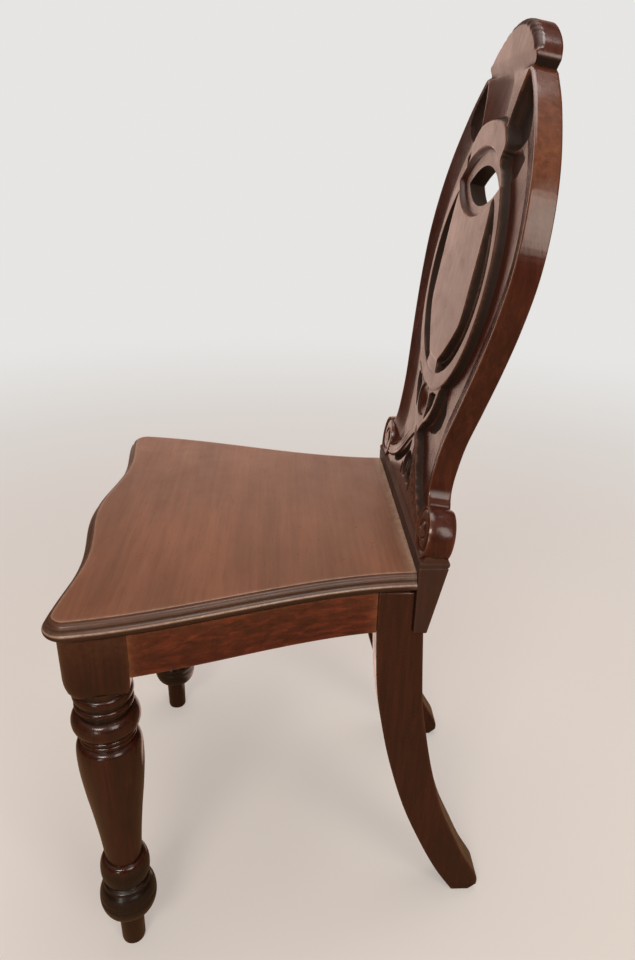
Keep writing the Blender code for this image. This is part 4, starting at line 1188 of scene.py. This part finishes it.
def mark_carving(mesh):
    """Stores painted shade with old wax, and painted highlight with wear, on the carved plank's
    faces from the grids above; the hand hole's walls and the nick are painted dark, the upper sawn
    edge pale.
    """
    spots = np.zeros(3 * len(mesh.polygons))
    mesh.polygons.foreach_get("center", spots)
    x, y, z = spots.reshape(-1, 3).T
    row = np.interp(z, row_heights, np.arange(len(row_heights)))
    width = np.interp(z, row_heights, row_widths)
    column = (np.clip(x / width, -1, 1) + 1) / 2 * (column_count - 1)
    at = (np.rint(row).astype(int), np.rint(column).astype(int))
    side_band, arris_band, deepest_face = 0.0006, 0.0012, 0.0118
    hole_reach, hole_rise, nick_z, nick_half = 0.062, 0.022, up(0.8722), 0.0030
    lit_edge_z, lit_edge_half = up(0.808), 0.072
    on_side = np.abs(x) > width - side_band
    by_hole = (np.abs(x) < hole_reach) & (np.abs(z - up(hole_height)) < hole_rise)
    hole_wall = by_hole & (y > depth[at] + 0.0008) & (y < plank_thickness - 0.0003)
    on_face = (y < deepest_face) & ~on_side & ~hole_wall
    nick_shade = np.clip(1.6 - np.abs(z - nick_z) / nick_half, 0, 1) * on_side
    # Painted shade: the walls of the hand hole and a band under the nick on each side are painted dark
    hollow = np.where(on_face, pocket_shade_and_wax[at], np.maximum(1.0 * hole_wall, nick_shade))
    edge_front = np.minimum(depth[at[0], -1], 0.7 * plank_thickness)
    # Painted highlight: the front and rear arrises of the sawn sides are painted pale
    arris = (np.abs(x) > width - arris_band) & (y < edge_front + 0.0011)
    arris |= on_side & (np.abs(y - plank_thickness + 0.0005) < 0.0006)
    # Painted light: the upper part of the sawn edge is painted paler orange, where light from above
    # falls on it
    lit_upper_edge = 0.4 * np.clip(1 - np.abs(z - lit_edge_z) / lit_edge_half, 0, 1) ** 0.5 * on_side
    ridge = np.where(on_face, proud_wear_and_highlight[at], lit_upper_edge)
    ridge = np.where(arris, 0.35, ridge) * (1 - hollow)
    for name, value in (("hollow", hollow), ("ridge", ridge)):
        layer = mesh.attributes.new(name, "FLOAT", "FACE")
        layer.data.foreach_set("value", value.astype(np.float32))


hole_half_length, hole_half_height, hole_height = 0.054, 0.018, 0.7755
hole = leaf(hole_half_length, hole_half_height, hole_height, 30)
# (depth in the plank, share of its size): the hole opens out towards the rear
hole_sizes = (
    (-0.006, 1.0), (0.0018, 1.0), (0.0030, 1.0), (0.45 * plank_thickness, 1.0),
    (0.62 * plank_thickness, 1.03), (plank_thickness, 1.14), (plank_thickness + 0.004, 1.17),
)
hole_rings = [
    [(x, y, z) for x, z in toward(hole, (0, up(hole_height)), size)] for y, size in hole_sizes
]
hole_tool = solid_from_rings("hand_hole", hole_rings)
back_mesh = joined("carved_back", carved_plank(), hole_tool, "DIFFERENCE")
mark_carving(back_mesh)
back_mesh.transform(back_frame)
back_polish = french_polished(
    "carved_mahogany_polished", "#341810", "#432016", "#562c1f", grain=(1, 1, 0.06), roughness=0.20,
    wear_and_highlight="#a06d4c", coat=0.0, wax_dull=0.70, darkening="#26170c",
)
back = show(
    "carved_back", back_mesh, back_polish, ["back_panel"], smooth_angle=42.0,
    wear_and_highlight=False,
)
weighted = back.modifiers.new("flat_faces_rule", "WEIGHTED_NORMAL")
weighted.keep_sharp, weighted.weight = True, 80

# Foot of the back
# The plank widens at its foot into a wedge that stands behind the rear legs and the back rail,
# upright against the seat and sloping in below. Its upper edges carry a thin sunk fillet line.

foot_bottom = shoulder_height + fit_gap
foot_top = seat_top + 0.0145
foot_face_y = seat_rear_y + fit_gap
foot_rear_top, foot_rear_low = 0.0288, 0.0125
# How far inside the plank's front and rear faces the foot's hidden upper end lies
front_tuck, rear_tuck = 0.0026, 0.003
foot_half = seat_rear_width / 2
plank_depth = plank_thickness / math.cos(back_rake)


def plank_y(height):
    """Where the raked plank's front face is at a height."""
    return foot_face_y + (height - seat_top) * math.tan(back_rake)


def foot_ring(height, draw):
    """The foot's outline in plan at a height, drawn in from its faces."""
    rear = foot_face_y + float(
        np.interp(height, (foot_bottom, foot_top - 0.002), (foot_rear_low, foot_rear_top))
    )
    front, half, clear = foot_face_y + draw, foot_half - draw, 0.0025
    if height > foot_top:
        front, rear = plank_y(height) + front_tuck, plank_y(height) + plank_depth - rear_tuck
    rear -= draw
    near = [(half, front + clear), (half, rear - clear), (half, rear), (half - clear, rear)]
    far = [(-x, y) for x, y in reversed(near)]
    ring = [(half - clear, front), (half, front), *near, *far, (-half, front), (clear - half, front)]
    return [(x, y, height) for x, y in ring]


# (height under the foot's top, how far drawn in): two fillets with a sunk line between them
foot_levels = [
    (foot_top - foot_bottom - rise, draw)
    for rise, draw in ((0, 0.0008), (0.0003, 0.0003), (0.0008, 0), (0.0030, 0), (0.0060, 0))
]
foot_levels += [
    (0.0110, 0), (0.0080, 0), (0.0066, 0), (0.0062, 0.0003), (0.0056, 0.0010), (0.0050, 0.0003),
    (0.0046, 0), (0.0026, 0), (0.0010, 0), (0.0003, 0.0003), (0.0, 0.0010), (-0.0060, 0.0010),
]
foot_mesh = solid_from_rings("back_foot", [foot_ring(foot_top - drop, draw) for drop, draw in foot_levels])
show("back_foot", foot_mesh, back_polish, ["back_panel"])
# The whole foot is painted darker than the plank, and the pale marks on its edges are halved
darken(foot_mesh, 0.0, 2 * seat_top, 0.62, 0.001)
for mark in foot_mesh.attributes["ridge"].data:
    mark.value *= 0.5

# Ears
# At each side of the neck the scroll ends in a volute, a fat disc with a rounded rim. A spiral
# is cut into its face, ending in a small round eye.

ear_radius, ear_proud = 0.0260, 0.0022
ear_x, ear_height = foot_half - 0.0225, seat_top + 0.0355
# The spiral's width is a share of the gap between its turns, and the face's and eye's are shares
# of the ear's radius
spiral_turns, spiral_depth, spiral_width = 1.7, 0.0019, 0.17
face_share, eye_share, eye_proud = 0.86, 0.20, 0.0016
ear_sides, ear_face_rings = 96, 22


def turned_rings(rings):
    """3-D rings of points about Z from rings of (radius, distance along Z)."""
    return [
        [
            (r * math.cos(2 * math.pi * k / len(ring)), r * math.sin(2 * math.pi * k / len(ring)), z)
            for k, (r, z) in enumerate(ring)
        ]
        for ring in rings
    ]


def ear_mesh(side):
    """Rings from the back of the ear, round its rim, to the eye of its spiral."""
    rear = plank_thickness + ear_proud
    rings = [[(share * ear_radius, rear)] * ear_sides for share in (0.02, 0.45, 0.74)]
    widest = math.radians(62)
    half_thick = plank_thickness / 2
    for a in spread(widest, -widest, 14):
        reach = (half_thick + 0.0016) * math.sin(a) / math.sin(widest)
        radius = ear_radius * (0.80 + 0.20 * math.cos(a) ** 0.55)
        rings.append([(radius, half_thick + reach)] * ear_sides)
    for share in spread(face_share, 0.02, ear_face_rings):
        ring = []
        for k in range(ear_sides):
            phase = (share / face_share * spiral_turns - k / ear_sides) % 1.0
            groove = spiral_depth * math.exp(-(((phase - 0.5) / spiral_width) ** 2))
            face_y = -eye_proud if share < eye_share else -0.0012 * (1 - share) - 0.0004 + groove
            ring.append((share * ear_radius, face_y))
        rings.append(ring)
    middle_z = up(ear_height)
    mesh = solid_from_rings(
        "ear", [[(side * (ear_x + x), y, middle_z + z) for x, z, y in r] for r in turned_rings(rings)]
    )
    mesh.transform(back_frame)
    return mesh


for side, hand in hands:
    show(f"scroll_ear_{hand}", ear_mesh(side), back_polish, ["back_panel"])

# Corner blocks
# Four sawn softwood blocks glued into the corners of the frame under the seat, each notched
# round its leg. They are unpolished and show only from below.


def sawn_softwood(name, early, late):
    """Pine off the saw: pale early wood, darker late lines 3 mm apart, and a dry rough face."""
    material, tree, shader, place = new_material(name)
    along = add_node(tree, "ShaderNodeMapping", {"Vector": place, "Scale": (0.1, 1, 1)})
    rings = add_node(tree, "ShaderNodeTexNoise", {"Vector": along, "Scale": 330.0, "Detail": 3.0})
    tones = add_node(tree, "ShaderNodeValToRGB", {"Fac": rings})
    for stop, at, tone in zip(tones.color_ramp.elements, (0.4, 0.65), (early, late)):
        stop.position, stop.color = at, linear(tone)
    bump = add_node(tree, "ShaderNodeBump", {"Height": rings, "Strength": 0.4, "Distance": 0.0004})
    fill(tree, shader, {"Base Color": tones, "Normal": bump, "Roughness": 0.72})
    return material


block_wood = sawn_softwood("corner_block_sawn_pine", "#b39468", "#8a6540")
for end in ("front", "rear"):
    for hand in ("left", "right"):
        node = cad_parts[f"corner_block_{end}_{hand}"]
        node.data.materials.clear()
        node.data.materials.append(block_wood)

# Wood screws
# Countersunk steel screws with slotted heads: two in each corner block, eight up into the seat
# and four through the back rail into the foot of the back.


def turned_steel(name):
    """Mild steel, turned and dulled: grey, with faint spots of rust about 1 mm across."""
    material, tree, shader, place = new_material(name)
    spots = add_node(tree, "ShaderNodeTexNoise", {"Vector": place, "Scale": 700.0, "Detail": 3.0})
    tones = add_node(tree, "ShaderNodeValToRGB", {"Fac": spots})
    for stop, at, tone in zip(tones.color_ramp.elements, (0.45, 0.68), ("#8d8a86", "#5a4638")):
        stop.position, stop.color = at, linear(tone)
    fill(tree, shader, {"Base Color": tones, "Metallic": 1.0, "Roughness": 0.42})
    return material


screw_steel = turned_steel("screw_turned_mild_steel")
screw_nodes = sorted(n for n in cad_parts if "_screw_" in n)
head_radius, head_height, shank_radius, slot_width, slot_depth = 0.0042, 0.0030, 0.0021, 0.0008, 0.0010


def screw_mesh(length):
    """A screw along +Z from the flat of its head, with its slot and a tapering thread."""
    thread_pitch, thread_depth, sides = 0.0021, 0.0004, 16
    head = ((head_radius, 0.0), (head_radius, 0.0004), (shank_radius, head_height))
    rings = [[station] * sides for station in head]
    steps = int((length - head_height) / (thread_pitch / 4))
    for n in range(1, steps + 1):
        z = head_height + (length - head_height) * n / steps
        taper = min(1.0, (length - z) / (4 * shank_radius) + 0.12)
        threaded = z > length * 0.4
        ring = []
        for k in range(sides):
            phase = (z / thread_pitch - k / sides) % 1.0
            cut = thread_depth * abs(phase - 0.5) * 2 * threaded
            ring.append(((shank_radius - cut) * taper, z))
        rings.append(ring)
    body = solid_from_rings("screw", turned_rings(rings))
    groove = solid_from_rings(
        "slot",
        [[(x * slot_width / 2, y * 2 * head_radius, z) for x, y in square]
         for z in (-slot_depth, slot_depth)],
    )
    return joined("screw", body, groove, "DIFFERENCE")


def screw_placing_tree():
    """Geometry nodes that stand one screw on each point of a seed mesh, along its direction."""
    tree, given = start_tree(
        "driven_screws",
        {"Seats": "Geometry", "Screw": "Object", "Steel": "Material", "Turn Seed": "Int"},
    )
    screw = add_node(tree, "GeometryNodeObjectInfo", {"Object": given["Screw"]})
    way = add_node(tree, "GeometryNodeInputNamedAttribute", {"Name": "way"}, data_type="FLOAT_VECTOR")
    stand = add_node(tree, "FunctionNodeAlignRotationToVector", {"Vector": way}, axis="Z")
    spin = add_node(
        tree, "FunctionNodeRandomValue",
        {"Min": (0.0, 0.0, 0.0), "Max": (0.0, 0.0, math.pi), "Seed": given["Turn Seed"]},
        data_type="FLOAT_VECTOR",
    )
    seated = add_node(
        tree, "GeometryNodeInstanceOnPoints",
        {"Points": given["Seats"], "Instance": screw.outputs["Geometry"], "Rotation": stand},
    )
    turned = add_node(tree, "GeometryNodeRotateInstances", {"Instances": seated, "Rotation": spin})
    return end_tree(tree, turned, given["Steel"])


def screw_seat(node):
    """Where a packed screw's head lies, which way it is driven and its length, from its box."""
    low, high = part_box(node)
    middle, size = (low + high) / 2, high - low
    axis = max(range(3), key=lambda k: size[k])
    inward = -1 if axis == 1 and "front" in node else 1
    if axis == 0 and "right" in node:
        inward = -1
    way = Vector([inward if k == axis else 0 for k in range(3)])
    return middle - way * size[axis] / 2, way, size[axis]


placing = screw_placing_tree()
lengths = sorted({round(screw_seat(n)[2], 4) for n in screw_nodes})
for number, length in enumerate(lengths, 1):
    members = [n for n in screw_nodes if round(screw_seat(n)[2], 4) == length]
    seats = mesh_of("screw_seats", [screw_seat(n)[0] for n in members])
    ways = seats.attributes.new("way", "FLOAT_VECTOR", "POINT")
    ways.data.foreach_set("vector", [c for n in members for c in screw_seat(n)[1]])
    pattern = add_object("screw_pattern", screw_mesh(length))
    screws = grown(
        f"wood_screws_{number}", seats, placing, {"Screw": pattern, "Steel": screw_steel, "Turn Seed": 7}
    )
    bpy.data.objects.remove(pattern)
    show(f"wood_screws_{number}", outward(screws), screw_steel, members, wear_and_highlight=False)
